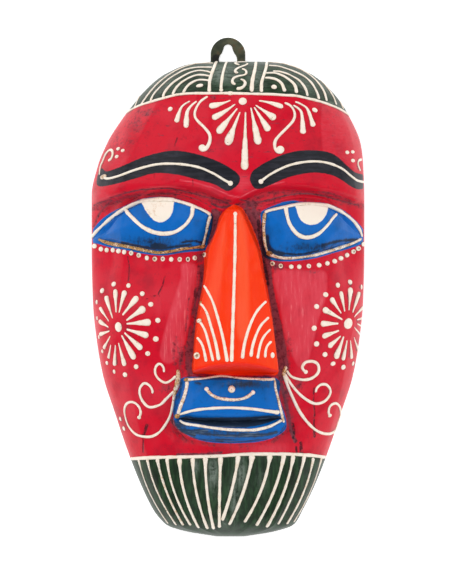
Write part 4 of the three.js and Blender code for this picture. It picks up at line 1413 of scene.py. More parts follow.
class Finish(Nodes):
    """A material, with the nodes of its surface."""

    def __init__(self, name, **constants):
        self.material = bpy.data.materials.new(name)
        self.material.use_nodes = True
        self.tree = self.material.node_tree
        self.shader = self.tree.nodes["Principled BSDF"]
        for label, value in constants.items():
            self.shader.inputs[label.replace("_", " ")].default_value = value
        self.place = self.node("ShaderNodeTexCoord").outputs["Object"]

    def attribute(self, name):
        node = self.node("ShaderNodeAttribute", {"attribute_name": name})
        return Value(self, node.outputs["Fac"])

    def noise(self, scale, stretch=(1, 1, 1), detail=3, roughness=0.5, distortion=0, shift=0):
        """Noise whose grains are about 1 / scale metres, longer where stretch is small."""
        place = self.out(
            "ShaderNodeMapping", Vector=self.place, Scale=stretch, Location=(shift, shift, shift)
        )
        return self.value(
            "ShaderNodeTexNoise", Vector=place, Scale=scale, Detail=detail,
            Roughness=roughness, Distortion=distortion,
        )

    def blend(self, share, first, second):
        """The first colour where share is 0, and the second where it is 1."""
        settings = {"data_type": "RGBA", "clamp_factor": True}
        return self.out("ShaderNodeMix", settings, Factor=share, A=first, B=second)

    def set(self, label, value):
        socket = value.socket if isinstance(value, Value) else value
        self.tree.links.new(socket, self.shader.inputs[label])

    def bump(self, height, distance, strength):
        bump = self.out("ShaderNodeBump", Height=height, Distance=distance, Strength=strength)
        self.set("Normal", bump)


WHITE = (1, 1, 1, 1)
CRIMSON = colour(212, 8, 40)
DEEP_RED = colour(172, 8, 38)
# Pink also serves as painted sheen on the red
PINK_RED = colour(224, 70, 86)
ORANGE = colour(252, 56, 8)
LIGHT_ORANGE = colour(255, 84, 34)
# Pale orange is painted sheen on the nose
PALE_ORANGE = colour(255, 92, 52)
ORANGE_RED = colour(255, 44, 8)
BLUE = colour(0, 105, 194)
DEEP_BLUE = colour(4, 78, 140)
GREEN = colour(42, 72, 44)
DEEP_GREEN = colour(26, 42, 28)
# Slate is painted glints on the green
SLATE_GREEN = colour(120, 132, 122)
BLACK = colour(27, 28, 35)
CREAM = colour(253, 241, 226)
OLD_CREAM = colour(242, 222, 192)
# Colours of the dark wash and painted shade
PURPLE_WASH_AND_SHADE = colour(120, 62, 74)
DARK_WASH_AND_SHADE = colour(48, 24, 36)
BLACK_WASH_AND_SHADE = colour(30, 29, 27)
BLUE_BLACK = colour(24, 34, 50)
TAN = colour(206, 152, 78)
BROWN = colour(140, 96, 52)
# Grey-blue is painted glints in the mouth
STEEL_BLUE = colour(104, 124, 146)
DARK_BROWN = colour(66, 40, 18)


def painted_wood():
    """Oil paint in flat areas with brush streaks, painted sheen and highlights, cuts washed dark
    and given painted shade, and varnish.
    """
    f = Finish(
        "painted and varnished wood", Specular_IOR_Level=0.1, Coat_Weight=0.12, Coat_Roughness=0.2
    )
    across = f.noise(560, (0.1, 1, 0.5), 4, 0.65)
    down = f.noise(560, (1, 0.1, 0.5), 4, 0.65, shift=0.3)
    upright = f.attribute("upright")
    streaks = across * (1 - upright) + down * upright
    mottle = f.noise(70, detail=4, roughness=0.6)
    broad = f.noise(24, detail=2)
    fleck = f.noise(430, detail=4, roughness=0.7)
    ragged = (f.noise(900, detail=2) - 0.5) * 0.0006

    def area(name, soft=0.00022):
        return (f.attribute(name) + ragged).rising(-soft, soft)

    # Painted sheen: lighter paint where light glances off planes, ledges and facets
    bloom = f.attribute("bloom")
    red = f.blend(mottle.rising(0.46, 0.76) * 0.75, CRIMSON, DEEP_RED)
    red = f.blend(fleck.rising(0.53, 0.7) * 0.5, red, DEEP_RED)
    # Painted sheen and highlights on the red: pink, and pale pink on the brightest streaks
    light = bloom * (0.4 + streaks * 1.0 - mottle * 0.3)
    red = f.blend(light.rising(0.1, 0.95), red, PINK_RED)
    red = f.blend((bloom * streaks).rising(0.5, 0.7) * 0.6, red, colour(240, 128, 132))
    red = f.blend(broad.rising(0.46, 0.7) * 0.28, red, PINK_RED)
    green = f.blend(streaks.rising(0.35, 0.7), DEEP_GREEN, GREEN)
    # Painted glints of slate on the green
    green_glints = bloom * (fleck + streaks - 0.1).rising(0.6, 1.1)
    green = f.blend(green_glints, green, SLATE_GREEN)
    worn = streaks.rising(0.4, 0.8) * 0.42 + mottle.rising(0.5, 0.8) * 0.3
    black = f.blend(worn, BLACK, colour(72, 72, 86))
    # Drawn dark wash and painted shade in creases, corners and under ledges; it also dulls the blue
    smudge = f.attribute("smudge")
    dull = mottle.rising(0.46, 0.8) * 0.5 + fleck.rising(0.54, 0.74) * 0.45 + smudge * 0.7
    blue = f.blend(dull, BLUE, DEEP_BLUE)
    orange = f.blend(streaks.rising(0.5, 0.8) * 0.55, ORANGE, LIGHT_ORANGE)
    # Painted sheen on the nose
    orange = f.blend(bloom * (0.6 + streaks * 0.5), orange, PALE_ORANGE)
    orange = f.blend(area("nose under", 0.0008), orange, ORANGE_RED)

    brows, nose, mouth, pupils = area("brows"), area("nose"), area("mouth"), area("pupils")
    cap_and_beard, eyes_and_mouth = area("cap").more_of(area("beard")), area("eyes").more_of(mouth)
    cream = f.blend((mottle * fleck).rising(0.29, 0.4) * 0.4, CREAM, TAN)
    areas = (cap_and_beard, brows, nose, eyes_and_mouth, pupils)
    paint = red
    for place, its_paint in zip(areas, (green, black, orange, blue, cream)):
        paint = f.blend(place, paint, its_paint)

    # Dark wash and painted shade, in the cuts, beside the paste and where drawn
    groove = f.attribute("groove").rising(0.0001, 0.0018) * 0.52
    beside = f.attribute("beside paste").rising(0.0006, 0.0) * 0.5
    dashes = across.rising(0.56, 0.7) * (1 - upright) * 0.42
    left = groove.more_of(beside) * (1 - nose * 0.9) * (1 - pupils)
    left = left.more_of(smudge * (1 - nose * 0.75)).more_of(dashes)
    rough = fleck * 0.55 + streaks * 0.45
    wash_and_shade = (left + (rough - 0.5) * 1.8).rising(0.24, 0.84) * left.rising(0.04, 0.2)
    # The colour of the dark wash and painted shade: purple-brown, near black on the green and
    # black, blue-black in the eyes and mouth
    wash_and_shade_colour = f.blend(fleck.rising(0.48, 0.62) * 0.75, PURPLE_WASH_AND_SHADE, DARK_WASH_AND_SHADE)
    wash_and_shade_colour = f.blend(cap_and_beard.more_of(brows), wash_and_shade_colour, BLACK_WASH_AND_SHADE)
    # Painted glints, grey-blue, in the dark of the mouth
    glints = mouth * (0.12 + across.rising(0.53, 0.66) * 0.55)
    wash_and_shade_colour = f.blend(eyes_and_mouth, wash_and_shade_colour, f.blend(glints, BLUE_BLACK, STEEL_BLUE))
    paint = f.blend(wash_and_shade * 0.9, paint, wash_and_shade_colour)
    crack = f.attribute("crack").rising(0.0004, -0.0002) * fleck.rising(0.36, 0.52)
    paint = f.blend(crack * 0.85, paint, DARK_WASH_AND_SHADE)
    f.set("Base Color", paint)

    f.set("Roughness", 0.34 + streaks * 0.2 + wash_and_shade * 0.12)
    pits = f.noise(1500, detail=2)
    height = streaks * 0.5 + mottle * 0.3 + pits * 0.2 - crack * 1.6 - wash_and_shade * 0.3
    f.bump(height, 0.0003, 0.85)
    return f.material


def relief_paste():
    """Cream paste under varnish, browner with age and towards the foot of each bead."""
    f = Finish("cream relief paste", Specular_IOR_Level=0.3, Coat_Weight=0.3, Coat_Roughness=0.2)
    grain = f.noise(900, detail=4, roughness=0.7)
    patches = f.noise(330, detail=3, roughness=0.6)
    specks = f.noise(1500, detail=1)
    age = f.attribute("age")
    crest = f.attribute("crest")
    pit = f.attribute("pit") * crest.rising(0.7, 0.98)
    body = f.blend(patches.rising(0.42, 0.7) * 0.5, CREAM, OLD_CREAM)
    gold = (age * 1.5 + (patches - 0.5) * 1.1 + (grain - 0.5) * 0.9).rising(0.25, 0.75)
    paste = f.blend(gold * age.rising(0.04, 0.4), body, TAN)
    foot = crest.rising(0.4, 0.0) * patches.rising(0.3, 0.6) * (0.45 + age * 0.5)
    paste = f.blend(foot, paste, BROWN)
    brown = (age * 0.4 + grain * 0.7 + specks * 0.5).rising(0.76, 0.88) * age.rising(0.05, 0.3)
    paste = f.blend(brown * 0.9, paste, DARK_BROWN)
    sunk = pit * (grain * 1.9)
    paste = f.blend(sunk.rising(0.2, 0.6) * 0.8, paste, BROWN)
    paste = f.blend(sunk.rising(0.6, 1.0) * 0.8, paste, DARK_BROWN)
    paste = f.blend((specks * patches).rising(0.42, 0.47) * 0.8, paste, DARK_BROWN)
    f.set("Base Color", paste)
    f.set("Roughness", 0.36 + grain * 0.2)
    f.bump(grain * 0.6 + patches * 0.4 - pit * 0.8, 0.0002, 0.7)
    return f.material


def bare_wood():
    """Soft stained wood, gouged, with its grain along the mask."""
    f = Finish("bare gouged wood")
    rings = f.noise(230, (1, 0.05, 0.6), 5, 0.6, 0.4)
    pores = f.noise(1900, (1, 0.06, 1), 2)
    stain = f.noise(26, detail=4, roughness=0.6)
    wood = f.blend(rings.rising(0.3, 0.72), colour(150, 104, 62), colour(104, 66, 38))
    wood = f.blend(stain.rising(0.45, 0.75) * 0.55, wood, colour(74, 46, 28))
    wood = f.blend(pores.rising(0.6, 0.72) * 0.6, wood, colour(50, 30, 18))
    f.set("Base Color", wood)
    f.set("Roughness", 0.62 + rings * 0.2)
    f.bump(rings * 0.7 - pores.rising(0.58, 0.75) * 0.8, 0.0003, 0.9)
    return f.material


# A dark patch on the plate, in the photograph's pixels
DARK_PATCH_PLACE = (216.4, 58)


def lacquered_iron():
    """Dark green-black lacquer on sheet iron, brown where it is rubbed."""
    f = Finish("lacquered sheet iron", Specular_IOR_Level=0.5)
    scuffs = f.noise(420, detail=5, roughness=0.65)
    patches = f.noise(110, detail=3)
    iron = f.blend(patches.rising(0.35, 0.65), colour(52, 58, 44), colour(92, 94, 70))
    rust = (scuffs * patches).rising(0.27, 0.4)
    iron = f.blend(rust * 0.7, iron, colour(96, 62, 34))
    # Near black round one place on the plate
    x, y = from_photo([DARK_PATCH_PLACE])[0]
    away = f.value("ShaderNodeVectorMath", {"operation": "DISTANCE"}, f.place, (x, y, 0))
    dark_patch = (away + scuffs * 0.0016).rising(0.0048, 0.0034)
    iron = f.blend(dark_patch * 0.9, iron, colour(20, 19, 22))
    f.set("Base Color", iron)
    f.set("Metallic", 0.25 - rust * 0.2)
    f.set("Roughness", 0.36 + rust * 0.35)
    f.bump(scuffs, 0.00012, 0.6)
    return f.material


def dull_steel():
    """Plain steel gone dull, with rust in the slot and at the edge."""
    f = Finish("dull screw steel", Metallic=0.9)
    scratches = f.noise(900, (1, 0.15, 1), 4, 0.6)
    rust = f.noise(300, detail=4, roughness=0.7).rising(0.5, 0.66)
    steel = f.blend(scratches.rising(0.3, 0.7), colour(128, 124, 116), colour(92, 88, 82))
    f.set("Base Color", f.blend(rust * 0.8, steel, colour(104, 60, 34)))
    f.set("Roughness", 0.38 + rust * 0.35)
    f.bump(scratches + rust * 0.6, 0.00008, 0.6)
    return f.material


def pale_floor():
    f = Finish(
        "pale matt floor", Roughness=0.85, Emission_Strength=FLOOR_GLOW, Emission_Color=WHITE
    )
    grain = f.noise(40, detail=3)
    f.set("Base Color", f.blend(grain, colour(248, 248, 248), colour(243, 243, 243)))
    return f.material


# The carved wood
GROOVE_BLUR = 0.005
GROOVE_STEP = 0.0006
PUPIL_RISE = 0.0004
PUPIL_EDGE = 0.0006
RIM_HEIGHT = 0.010
UPRIGHT_BELOW = (0.74, 0.66)
WOOD_CREASE = 55

# Where painted sheen and highlights make the paint lighter, and where dark wash and painted
# shade make it darker. Spots have a place, half a width, half a height and a strength. Strokes
# have places, half a width and a strength. Fields have an outline, a softness and a strength.
# All are in the photograph's pixels.
PAINTED_SHEEN_SPOTS = (
    ((118, 150), 14, 50, 0.6), ((105, 395), 12, 40, 0.6), ((351, 400), 12, 40, 0.5),
    ((240, 150), 60, 20, 0.16), ((110, 215), 12, 12, 0.7), ((205, 438), 40, 9, 0.6),
    ((270, 448), 40, 6, 0.6), ((97, 330), 5, 60, 0.7), ((360, 300), 5, 60, 0.6),
    ((242, 182), 12, 12, 0.8), ((150, 392), 14, 10, 0.3), ((170, 108), 30, 10, 0.2),
    ((213, 472), 5, 16, 1.1), ((196, 466), 3, 8, 0.9), ((241, 472), 5, 15, 1),
    ((234, 498), 4, 18, 0.9), ((224, 521), 3, 5, 0.6), ((262, 480), 6, 12, 0.3),
    ((222, 74), 18, 11, 0.85), ((256, 80), 9, 12, 0.7), ((165, 84), 20, 14, 0.4),
    ((305, 84), 20, 14, 0.4),
)
PAINTED_SHEEN_FIELDS = (
    (((181.6, 263), (197, 265), (200, 279), (197, 291), (192, 308), (190, 322), (186, 340),
      (180, 356), (168, 364), (160, 356), (162, 340), (168, 318), (174, 297), (180.6, 278)), 2.2,
     0.95),
    (((273, 272), (290, 269), (308, 270), (325, 271), (327.4, 284), (326, 298), (319, 318),
      (314, 340), (308, 362), (300, 368), (292, 356), (284, 335), (278, 300)), 2.2, 0.9),
    (((322, 104), (340, 106), (352, 120), (366, 150), (372, 176), (330, 158), (322, 150)), 1.4,
     0.55),
    (((92, 196), (104, 191), (112, 198), (104, 212), (94, 222)), 3, 0.6),
    (((238, 212), (245, 226), (248, 262), (248.4, 330), (237.6, 334), (236.6, 270)), 3, 0.9),
    (((224, 222), (217, 252), (208, 292), (200, 334), (210, 336), (219, 292), (226, 246)), 3,
     0.55),
)
PAINTED_SHEEN_STROKES = (
    (((180, 180.4), (195, 182.8), (215, 189), (229, 195.4), (240, 197.8)), 0.9, 1.3),
    (((240, 197.8), (250, 192.4), (264, 186.6), (284, 182)), 0.9, 1.2),
    (((280, 197.4), (294, 194.6), (307, 193.6), (323, 196)), 0.8, 1.2),
    (((150, 187.4), (168, 186.8), (186, 189)), 0.8, 0.9),
    (((96, 186), (108, 184), (120, 181.4)), 2, 0.6),
    (((191, 270), (189.4, 290), (185, 316), (181, 336)), 0.8, 1.2),
    (((299, 284), (303, 306), (302, 336)), 0.8, 1.1),
    (((284, 282), (291, 306), (297, 330)), 0.8, 1.1),
)
# Dark wash together with painted shade, in creases, corners, the mouth's slit and under ledges
WASH_AND_SHADE_SPOTS = (
    ((146, 113), 17, 7, 0.6), ((137, 125), 12, 11, 0.56), ((130, 140), 8, 14, 0.44),
    ((112, 152), 7, 10, 0.5), ((102, 208), 8, 7, 0.6), ((352, 206), 9, 6, 0.4),
    ((118, 142), 12, 16, 0.44), ((325, 140), 20, 20, 0.2), ((247, 216), 6, 9, 1.6),
    ((292, 478), 6, 22, 0.66), ((155, 480), 5, 20, 0.6), ((176, 492), 4, 22, 0.4),
    ((240, 530), 60, 5, 0.4), ((213, 97), 4, 3, 0.8), ((202, 96), 3, 2, 0.6),
    ((300, 381), 8, 6, 0.6), ((276, 266), 9, 7, 0.8), ((250, 205), 12, 4.5, 0.9),
    ((225, 202), 10, 4.5, 0.75), ((257, 213), 6, 5, 0.8), ((166, 388), 10, 6, 0.66),
    ((298, 386), 6, 5, 0.6), ((270, 254), 5, 5, 0.9), ((110, 345), 5, 26, 0.4),
    ((166, 428), 12, 10, 0.4), ((228, 449), 44, 4, 0.36), ((160, 447), 24, 5, 0.3),
    ((200, 258), 6, 8, 0.8), ((284, 268), 10, 3, 0.5), ((313, 272), 9, 2, 0.7),
    ((235, 160), 14, 5, 0.25), ((222, 142), 20, 5, 0.25), ((150, 242), 42, 8, 0.56),
    ((158, 246), 9, 3, 1.5), ((316, 248), 44, 7, 0.6), ((246, 384), 30, 5, 0.8),
    ((180, 425), 10, 9, 0.8), ((287, 392), 5, 14, 0.7), ((290, 420), 5, 16, 0.6),
    ((182, 358), 9, 16, 0.7), ((286, 352), 8, 22, 0.6), ((226, 432), 50, 4, 0.6),
    ((200, 430.6), 11, 2.6, 1.1), ((250, 434.6), 16, 2.6, 1.2), ((222, 439.4), 20, 2, 0.7),
)
WASH_AND_SHADE_STROKES = (
    (((94, 205), (108.7, 199), (119, 195.5), (135, 191), (153.5, 189), (172, 189), (190, 193),
      (206, 197.4), (221, 200.6), (229, 204.4)), 0.9, 1),
    (((113, 203.6), (126, 198), (144, 195), (162.7, 193.8), (178.7, 194.8), (190, 197.6),
      (202, 201.4), (212, 208)), 0.7, 0.85),
    (((240, 200), (256, 202), (270.5, 199.4), (284, 196), (300.4, 193.7), (316.4, 194.7),
      (330, 197.8), (344, 201.4), (358, 205)), 0.9, 1),
    (((260, 207), (276, 203), (292, 199.8), (310, 198.8), (328, 200.4), (342, 205)), 0.8, 0.6),
    (((98, 206), (112, 201), (128, 197), (146, 192.4)), 2.6, 0.5),
    (((246, 206), (262, 202.6), (280, 198.6)), 2.6, 0.5),
    (((318, 191.6), (328, 192.8), (339, 196)), 1.6, 0.7),
    (((122, 242.6), (134, 245), (148, 247.6), (160, 248.6), (174, 247), (190, 245)), 1.5, 1),
    (((183, 242.4), (193, 241), (202, 243)), 1.3, 1.1),
    (((267, 237), (268.4, 246), (273, 251.4), (282, 254)), 2.6, 1.1),
    (((282, 253.6), (300, 254.4), (318, 251)), 1.4, 0.95),
    (((322, 245.6), (332, 242.6), (343, 240.6), (357, 239.6)), 2, 0.9),
    (((201, 266), (201.4, 280), (199, 296)), 2, 1.1),
    (((195.6, 288), (195.4, 302), (192, 316)), 1.6, 1.2),
    (((189, 296), (188, 314), (185, 332)), 1.1, 0.8),
    (((191, 326), (188, 340), (184, 352)), 1.8, 0.8),
    (((176, 338), (174, 350), (175, 364)), 2.6, 0.6),
    (((175, 391), (173.6, 403), (174.6, 413)), 1.7, 0.5),
    (((172, 420), (176.6, 426), (184, 431), (194, 434)), 2.6, 1.1),
    (((166, 372), (170, 378), (168, 384)), 1.6, 0.35),
    (((281, 384), (284.6, 398), (288, 414), (290.6, 428), (295, 441)), 2.3, 1.1),
    (((242, 211), (250, 221), (256, 235), (260, 250)), 2, 1.7),
    (((196, 382.6), (200, 383.6)), 1.8, 0.8),
    (((177, 454.8), (190, 454), (206, 453.4), (222, 453)), 1, 1.5),
    (((182, 429), (198, 432.6), (220, 434.8), (246, 435.6), (264, 434.6), (276, 432)), 2, 0.9),
    (((190, 437), (212, 440.6), (240, 441.4), (268, 438.6)), 0.9, 0.7),
    (((200, 424.4), (224, 426.2), (246, 427)), 0.8, 0.8),
    (((112, 200), (104, 208), (98, 216), (94, 226)), 1.6, 0.8),
    (((212, 204), (222, 207.6), (230, 206), (238, 204.6)), 1.8, 0.9),
)
WASH_AND_SHADE_FIELDS = (
    (((253, 206), (260, 218), (263, 233), (266, 250), (271, 262), (273, 285), (278, 308),
      (284, 336), (287, 354), (289, 370), (285, 379), (279, 380), (276, 360), (272, 325),
      (265, 285), (259, 248), (251, 222)), 1.6, 1),
    (((212, 209), (221, 214), (217, 234), (208, 250), (205, 285), (199, 320), (195, 350),
      (193, 374), (188, 374), (185, 360), (187, 345), (192, 330), (195, 312), (199, 296),
      (201.6, 275), (204, 258), (207, 243), (211, 225)), 1.4, 0.9),
    (((181, 417), (197, 417.4), (218, 417.2), (247, 416.8), (270, 415.4), (281, 416.4),
      (273, 420.4), (256, 425.6), (240, 426.8), (218, 425.8), (197, 422.9), (185, 420.8)), 0.9,
     1.15),
)


def groove_depths(x, y):
    """How far the carving lies under the mean of what is round it, at each point."""
    step, margin = GROOVE_STEP, 2 * GROOVE_BLUR
    xs = np.arange(-HALF_WIDTH - margin, HALF_WIDTH + margin, step)
    ys = np.arange(CHIN_Y - margin, CROWN_Y + margin, step)
    grid_x, grid_y = np.meshgrid(xs, ys)
    p, q = grid_x / HALF_WIDTH, (grid_y - CHIN_Y) / MASK_LENGTH
    height = carving(p, np.clip(q, 0, 1)) + hand_marks(p, np.clip(q, 0, 1), grid_x, grid_y)
    reach = int(GROOVE_BLUR / step)
    weights = bell(np.arange(-2 * reach, 2 * reach + 1), reach)
    weights /= weights.sum()
    mean = np.apply_along_axis(lambda row: np.convolve(row, weights, "same"), 1, height)
    mean = np.apply_along_axis(lambda row: np.convolve(row, weights, "same"), 0, mean)
    under = mean - height
    i = np.clip((y - ys[0]) / step, 0, len(ys) - 1.001)
    j = np.clip((x - xs[0]) / step, 0, len(xs) - 1.001)
    i0, j0 = i.astype(int), j.astype(int)
    u, v = i - i0, j - j0
    return (
        under[i0, j0] * (1 - u) * (1 - v)
        + under[i0 + 1, j0] * u * (1 - v)
        + under[i0, j0 + 1] * (1 - u) * v
        + under[i0 + 1, j0 + 1] * u * v
    )


def paste_distance(x, y):
    """Distance from each point to the edge of the nearest paste."""
    samples = []
    for lines, dots in PASTE.values():
        for drawn in lines:
            places = from_photo(smoothed(drawn["points"], 6))
            radii = line_radii(places, drawn)
            run = np.concatenate([[0], np.cumsum(np.hypot(*np.diff(places, axis=0).T))])
            to_end = np.minimum(run, run[-1] - run) / radii
            radii = radii * np.sqrt(BEAD_END - (1 - np.minimum(1, to_end)) ** 2)
            samples += [(*c, r) for c, r in zip(places, radii)]
        for drawn in dots:
            centre = from_photo([drawn["place"]])[0]
            samples.append((*centre, drawn["long"] * PIXEL / 2))
    tree = kdtree.KDTree(len(samples))
    for i, (sx, sy, _) in enumerate(samples):
        tree.insert((sx, sy, 0), i)
    tree.balance()
    result = np.empty(len(x))
    for k, point in enumerate(zip(x, y)):
        _, i, away = tree.find((*point, 0))
        result[k] = away - samples[i][2]
    return result


def amount(x, y, spots, strokes, fields):
    """How strongly spots, strokes and fields cover each point."""
    total = np.zeros(x.shape)
    for place, wide, long, strength in spots:
        cx, cy = from_photo([place])[0]
        spread = np.hypot((x - cx) / (wide * PIXEL), (y - cy) / (long * PIXEL))
        total = np.maximum(total, strength * bell(spread, 1))
    for points, half_width, strength in strokes:
        away = distance_to(x, y, from_photo(smoothed(points)))[0]
        total = np.maximum(total, strength * bell(away, half_width * PIXEL))
    for outline, softness, strength in fields:
        edge = softness * PIXEL
        total = np.maximum(total, strength * ease(-edge, edge, inside(x, y, outline)))
    return total


def paint_attributes(mesh):
    """Stores what the paint needs to know at each vertex of the wood."""
    co = np.empty(len(mesh.vertices) * 3)
    mesh.vertices.foreach_get("co", co)
    x, y, z = co.reshape(-1, 3).T
    crack = np.full(x.shape, 1.0)
    for points, half_width in CRACKS:
        away = distance_to(x, y, from_photo(smoothed(points)))[0]
        crack = np.minimum(crack, away - half_width * PIXEL)
    q = (y - CHIN_Y) / MASK_LENGTH
    above_rim = z - RIM_HEIGHT
    low = np.maximum(0, -above_rim)
    values = {
        "cap": above(x, y, CAP_BORDER),
        "beard": -above(x, y, BEARD_BORDER),
        "brows": np.minimum(inside(x, y, LEFT_BROW, RIGHT_BROW), above_rim),
        "eyes": np.minimum(inside(x, y, LEFT_EYE, RIGHT_EYE), above_rim),
        "pupils": inside(x, y, LEFT_PUPIL, RIGHT_PUPIL),
        "nose": inside(x, y, NOSE),
        "nose under": inside(x, y, NOSE_UNDER),
        "mouth": inside(x, y, MOUTH),
        "upright": ease(*UPRIGHT_BELOW, q),
        # Cut depth, distance beside the paste and drawn spots, which place the dark wash and
        # painted shade
        "groove": groove_depths(x, y),
        "beside paste": paste_distance(x, y) + low,
        "smudge": amount(x, y, WASH_AND_SHADE_SPOTS, WASH_AND_SHADE_STROKES, WASH_AND_SHADE_FIELDS),
        "crack": crack + low,
        # Where painted sheen and highlights lighten the paint
        "bloom": amount(x, y, PAINTED_SHEEN_SPOTS, PAINTED_SHEEN_STROKES, PAINTED_SHEEN_FIELDS),
    }
    normals = np.empty(len(mesh.vertices) * 3)
    mesh.vertices.foreach_get("normal", normals)
    pad = PUPIL_RISE * ease(0, PUPIL_EDGE, values["pupils"])
    places = co.reshape(-1, 3) + normals.reshape(-1, 3) * pad[:, None]
    mesh.vertices.foreach_set("co", places.ravel())
    for name, value in values.items():
        store(mesh, name, value)


def carved_mask(paint, bare):
    """The whole carving: paint on its face, and bare wood behind and in what is cut away."""
    piece = coat(closed_dome("carved_mask", carved_face()), paint, bare)
    piece.data.polygons[-1].material_index = 1
    piece = cut_away(piece, coat(hollow_cutter(), bare), coat(plate_recess_cutter(), bare))
    shade(piece.data, WOOD_CREASE)
    paint_attributes(piece.data)
    return piece


# The hanger
PLATE_EDGE = 0.00022
SCREW_HEAD_RADIUS = 0.0031
SCREW_SHANK_RADIUS = 0.0015
SLOT_WIDTH = 0.0008
SLOT_DEPTH = 0.0009
SCREW_PLAIN = 0.0015
SCREW_EDGE = 0.00012
THREAD_PITCH = 0.0011
THREAD_TURNS = 9
METAL_CREASE = 35
SCREW_SEED = 4
SCREWS = ("hanger_screw_1", "hanger_screw_2")


def screw_middles():
    corners = [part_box(name) for name in SCREWS]
    return [((low + high) / 2).xy for low, high in corners]


def hanger_plate(material):
    """Stamped sheet with rolled edges, its keyhole and its two screw holes."""
    data = bpy.data.curves.new("keyhole_plate", "CURVE")
    data.dimensions = "2D"
    data.fill_mode = "BOTH"
    data.extrude = PLATE_THICKNESS / 2 - PLATE_EDGE
    data.bevel_depth = PLATE_EDGE
    data.bevel_resolution = 3
    data.offset = -PLATE_EDGE
    holes = [arc(c, SCREW_HEAD_RADIUS + FIT_GAP, 0, 360, 32)[:-1] for c in screw_middles()]
    for outline in [plate_outline(0), keyhole_outline(), *holes]:
        spline = data.splines.new("POLY")
        spline.points.add(len(outline) - 1)
        for point, place in zip(spline.points, outline):
            point.co = (*place, 0, 1)
        spline.use_cyclic_u = True
    plate = plain_mesh(object_from("keyhole_plate", data))
    bm = bmesh.new()
    bm.from_mesh(plate.data)
    bmesh.ops.remove_doubles(bm, verts=bm.verts, dist=1e-6)
    bmesh.ops.recalc_face_normals(bm, faces=bm.faces)
    bmesh.ops.translate(bm, verts=bm.verts, vec=(0, 0, PLATE_THICKNESS / 2))
    bm.to_mesh(plate.data)
    bm.free()
    shade(plate.data, METAL_CREASE)
    return coat(plate, material)


def turned(name, profile, sides=32):
    """A closed solid turned round Z from (radius, height) pairs, from the axis to the axis."""
    points = [(0, 0, profile[0][1])]
    for radius, height in profile[1:-1]:
        ring = arc((0, 0), radius, 0, 360, sides)[:-1]
        points += [(x, y, height) for x, y in ring]
    points.append((0, 0, profile[-1][1]))
    faces = [[0, 1 + (i + 1) % sides, 1 + i] for i in range(sides)]
    for ring in range(len(profile) - 3):
        a = 1 + ring * sides
        for i in range(sides):
            j = (i + 1) % sides
            faces.append([a + i, a + j, a + sides + j, a + sides + i])
    last = len(points) - 1
    faces += [[last, last - sides + i, last - sides + (i + 1) % sides] for i in range(sides)]
    return piece_from(name, points, faces)


def screw_pattern():
    """A countersunk slotted screw, head down at the origin."""
    low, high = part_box(SCREWS[0])
    head, shank = SCREW_HEAD_RADIUS, SCREW_SHANK_RADIUS
    neck = head - shank
    profile = [(0, 0), (head - SCREW_EDGE, 0), (head, SCREW_EDGE), (shank, neck)]
    for turn in range(THREAD_TURNS):
        foot = neck + SCREW_PLAIN + turn * THREAD_PITCH
        profile += [(shank * 0.8, foot), (shank, foot + THREAD_PITCH / 2)]
    profile += [(0, high.z - low.z)]
    screw = turned("screw pattern", profile)
    half = (SLOT_WIDTH / 2, head * 1.2, SLOT_DEPTH)
    bm = bmesh.new()
    bmesh.ops.create_cube(bm, size=2)
    bmesh.ops.scale(bm, verts=bm.verts, vec=half)
    slot = bpy.data.meshes.new("slot cutter")
    bm.to_mesh(slot)
    bm.free()
    return cut_away(screw, object_from("slot cutter", slot))


def screw_tree():
    """Drives a screw at each point, each with its slot at another angle."""
    tree = Tree("driven screws", Screw="Object", Seed="Int", Material="Material")
    angle = tree.out(
        "FunctionNodeRandomValue", {"data_type": "FLOAT"}, Min=0.0, Max=math.pi,
        Seed=tree.given("Seed"),
    )
    turn = tree.out("FunctionNodeEulerToRotation", None, tree.out("ShaderNodeCombineXYZ", Z=angle))
    screws = tree.out(
        "GeometryNodeInstanceOnPoints", Points=tree.given("Geometry"),
        Instance=tree.shape_of("Screw"), Rotation=turn,
    )
    return tree.finish(screws)


def hanger_screws(material):
    places = [(*middle, 0) for middle in screw_middles()]
    points = piece_from("hanger_screws", places)
    pattern = screw_pattern()
    screws = screw_tree().apply_to(points, Screw=pattern, Seed=SCREW_SEED, Material=material)
    bpy.data.objects.remove(pattern)
    shade(screws.data, METAL_CREASE)
    return screws


# The setting
CAMERA_DISTANCE = 12.0
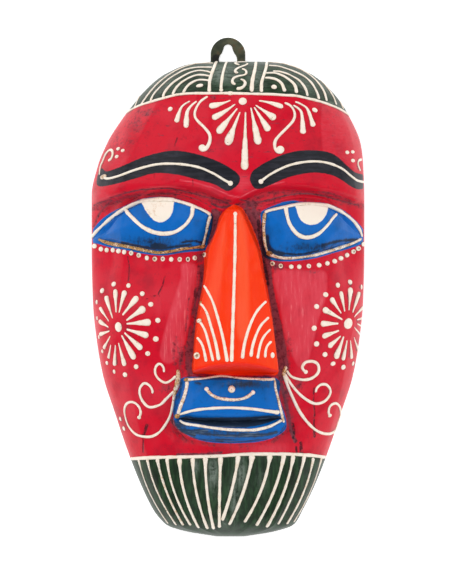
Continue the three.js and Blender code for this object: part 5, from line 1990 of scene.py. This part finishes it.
# The height over the floor at which a pixel of the render has its true size
TRUE_HEIGHT = 0.03
SENSOR = 36
FLOOR_SIZE = 24.0
FLOOR_GLOW = 0.6
SKY_STRENGTH = 0.3
SOFTBOXES = (
    ("key softbox", (-1.8, 1.7, 2.1), (3.4, 3.4), 62),
    ("fill softbox", (2.2, 0.5, 2.1), (3.4, 3.4), 44),
    ("low softbox", (-0.2, -2.3, 2.1), (3.4, 3.4), 36),
)


def pale_stage():
    half = FLOOR_SIZE / 2
    corners = [(-half, -half, 0), (half, -half, 0), (half, half, 0), (-half, half, 0)]
    floor = coat(piece_from("floor", corners, [[0, 1, 2, 3]]), pale_floor())
    world = bpy.data.worlds.new("studio")
    world.use_nodes = True
    world.node_tree.nodes["Background"].inputs["Color"].default_value = WHITE
    world.node_tree.nodes["Background"].inputs["Strength"].default_value = SKY_STRENGTH
    bpy.context.scene.world = world


def softbox(name, place, size, power):
    light = bpy.data.lights.new(name, "AREA")
    light.shape = "RECTANGLE"
    light.size, light.size_y = size
    light.energy = power
    lamp = object_from(name, light)
    lamp.location = place
    aim = Vector((0, 0, TRUE_HEIGHT)) - lamp.location
    lamp.rotation_euler = aim.to_track_quat("-Z", "Y").to_euler()


def camera_above():
    data = bpy.data.cameras.new("camera")
    field = PHOTO_HEIGHT * PIXEL
    data.sensor_width = SENSOR
    data.lens = SENSOR * (CAMERA_DISTANCE - TRUE_HEIGHT) / field
    data.clip_end = 40
    camera = object_from("camera", data)
    x, y = from_photo([(PHOTO_WIDTH / 2, PHOTO_HEIGHT / 2)])[0]
    camera.location = (x, y, CAMERA_DISTANCE)
    bpy.context.scene.camera = camera


paint, paste, bare = painted_wood(), relief_paste(), bare_wood()
mask = carved_mask(paint, bare)
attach(mask, "root")
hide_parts("wooden_mask")

beads, drops = bead_tree(), drop_tree()
for group, (lines, dots) in PASTE.items():
    piece = paste_piece(group, lines, dots, beads, drops, mask, paste)
    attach(piece, "root")

plate = hanger_plate(lacquered_iron())
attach(plate, "root")
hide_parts("hanger_plate")

screws = hanger_screws(dull_steel())
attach(screws, "root")
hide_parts(*SCREWS)

pale_stage()
for softbox_row in SOFTBOXES:
    softbox(*softbox_row)
camera_above()
bpy.context.scene.view_settings.view_transform = "Standard"
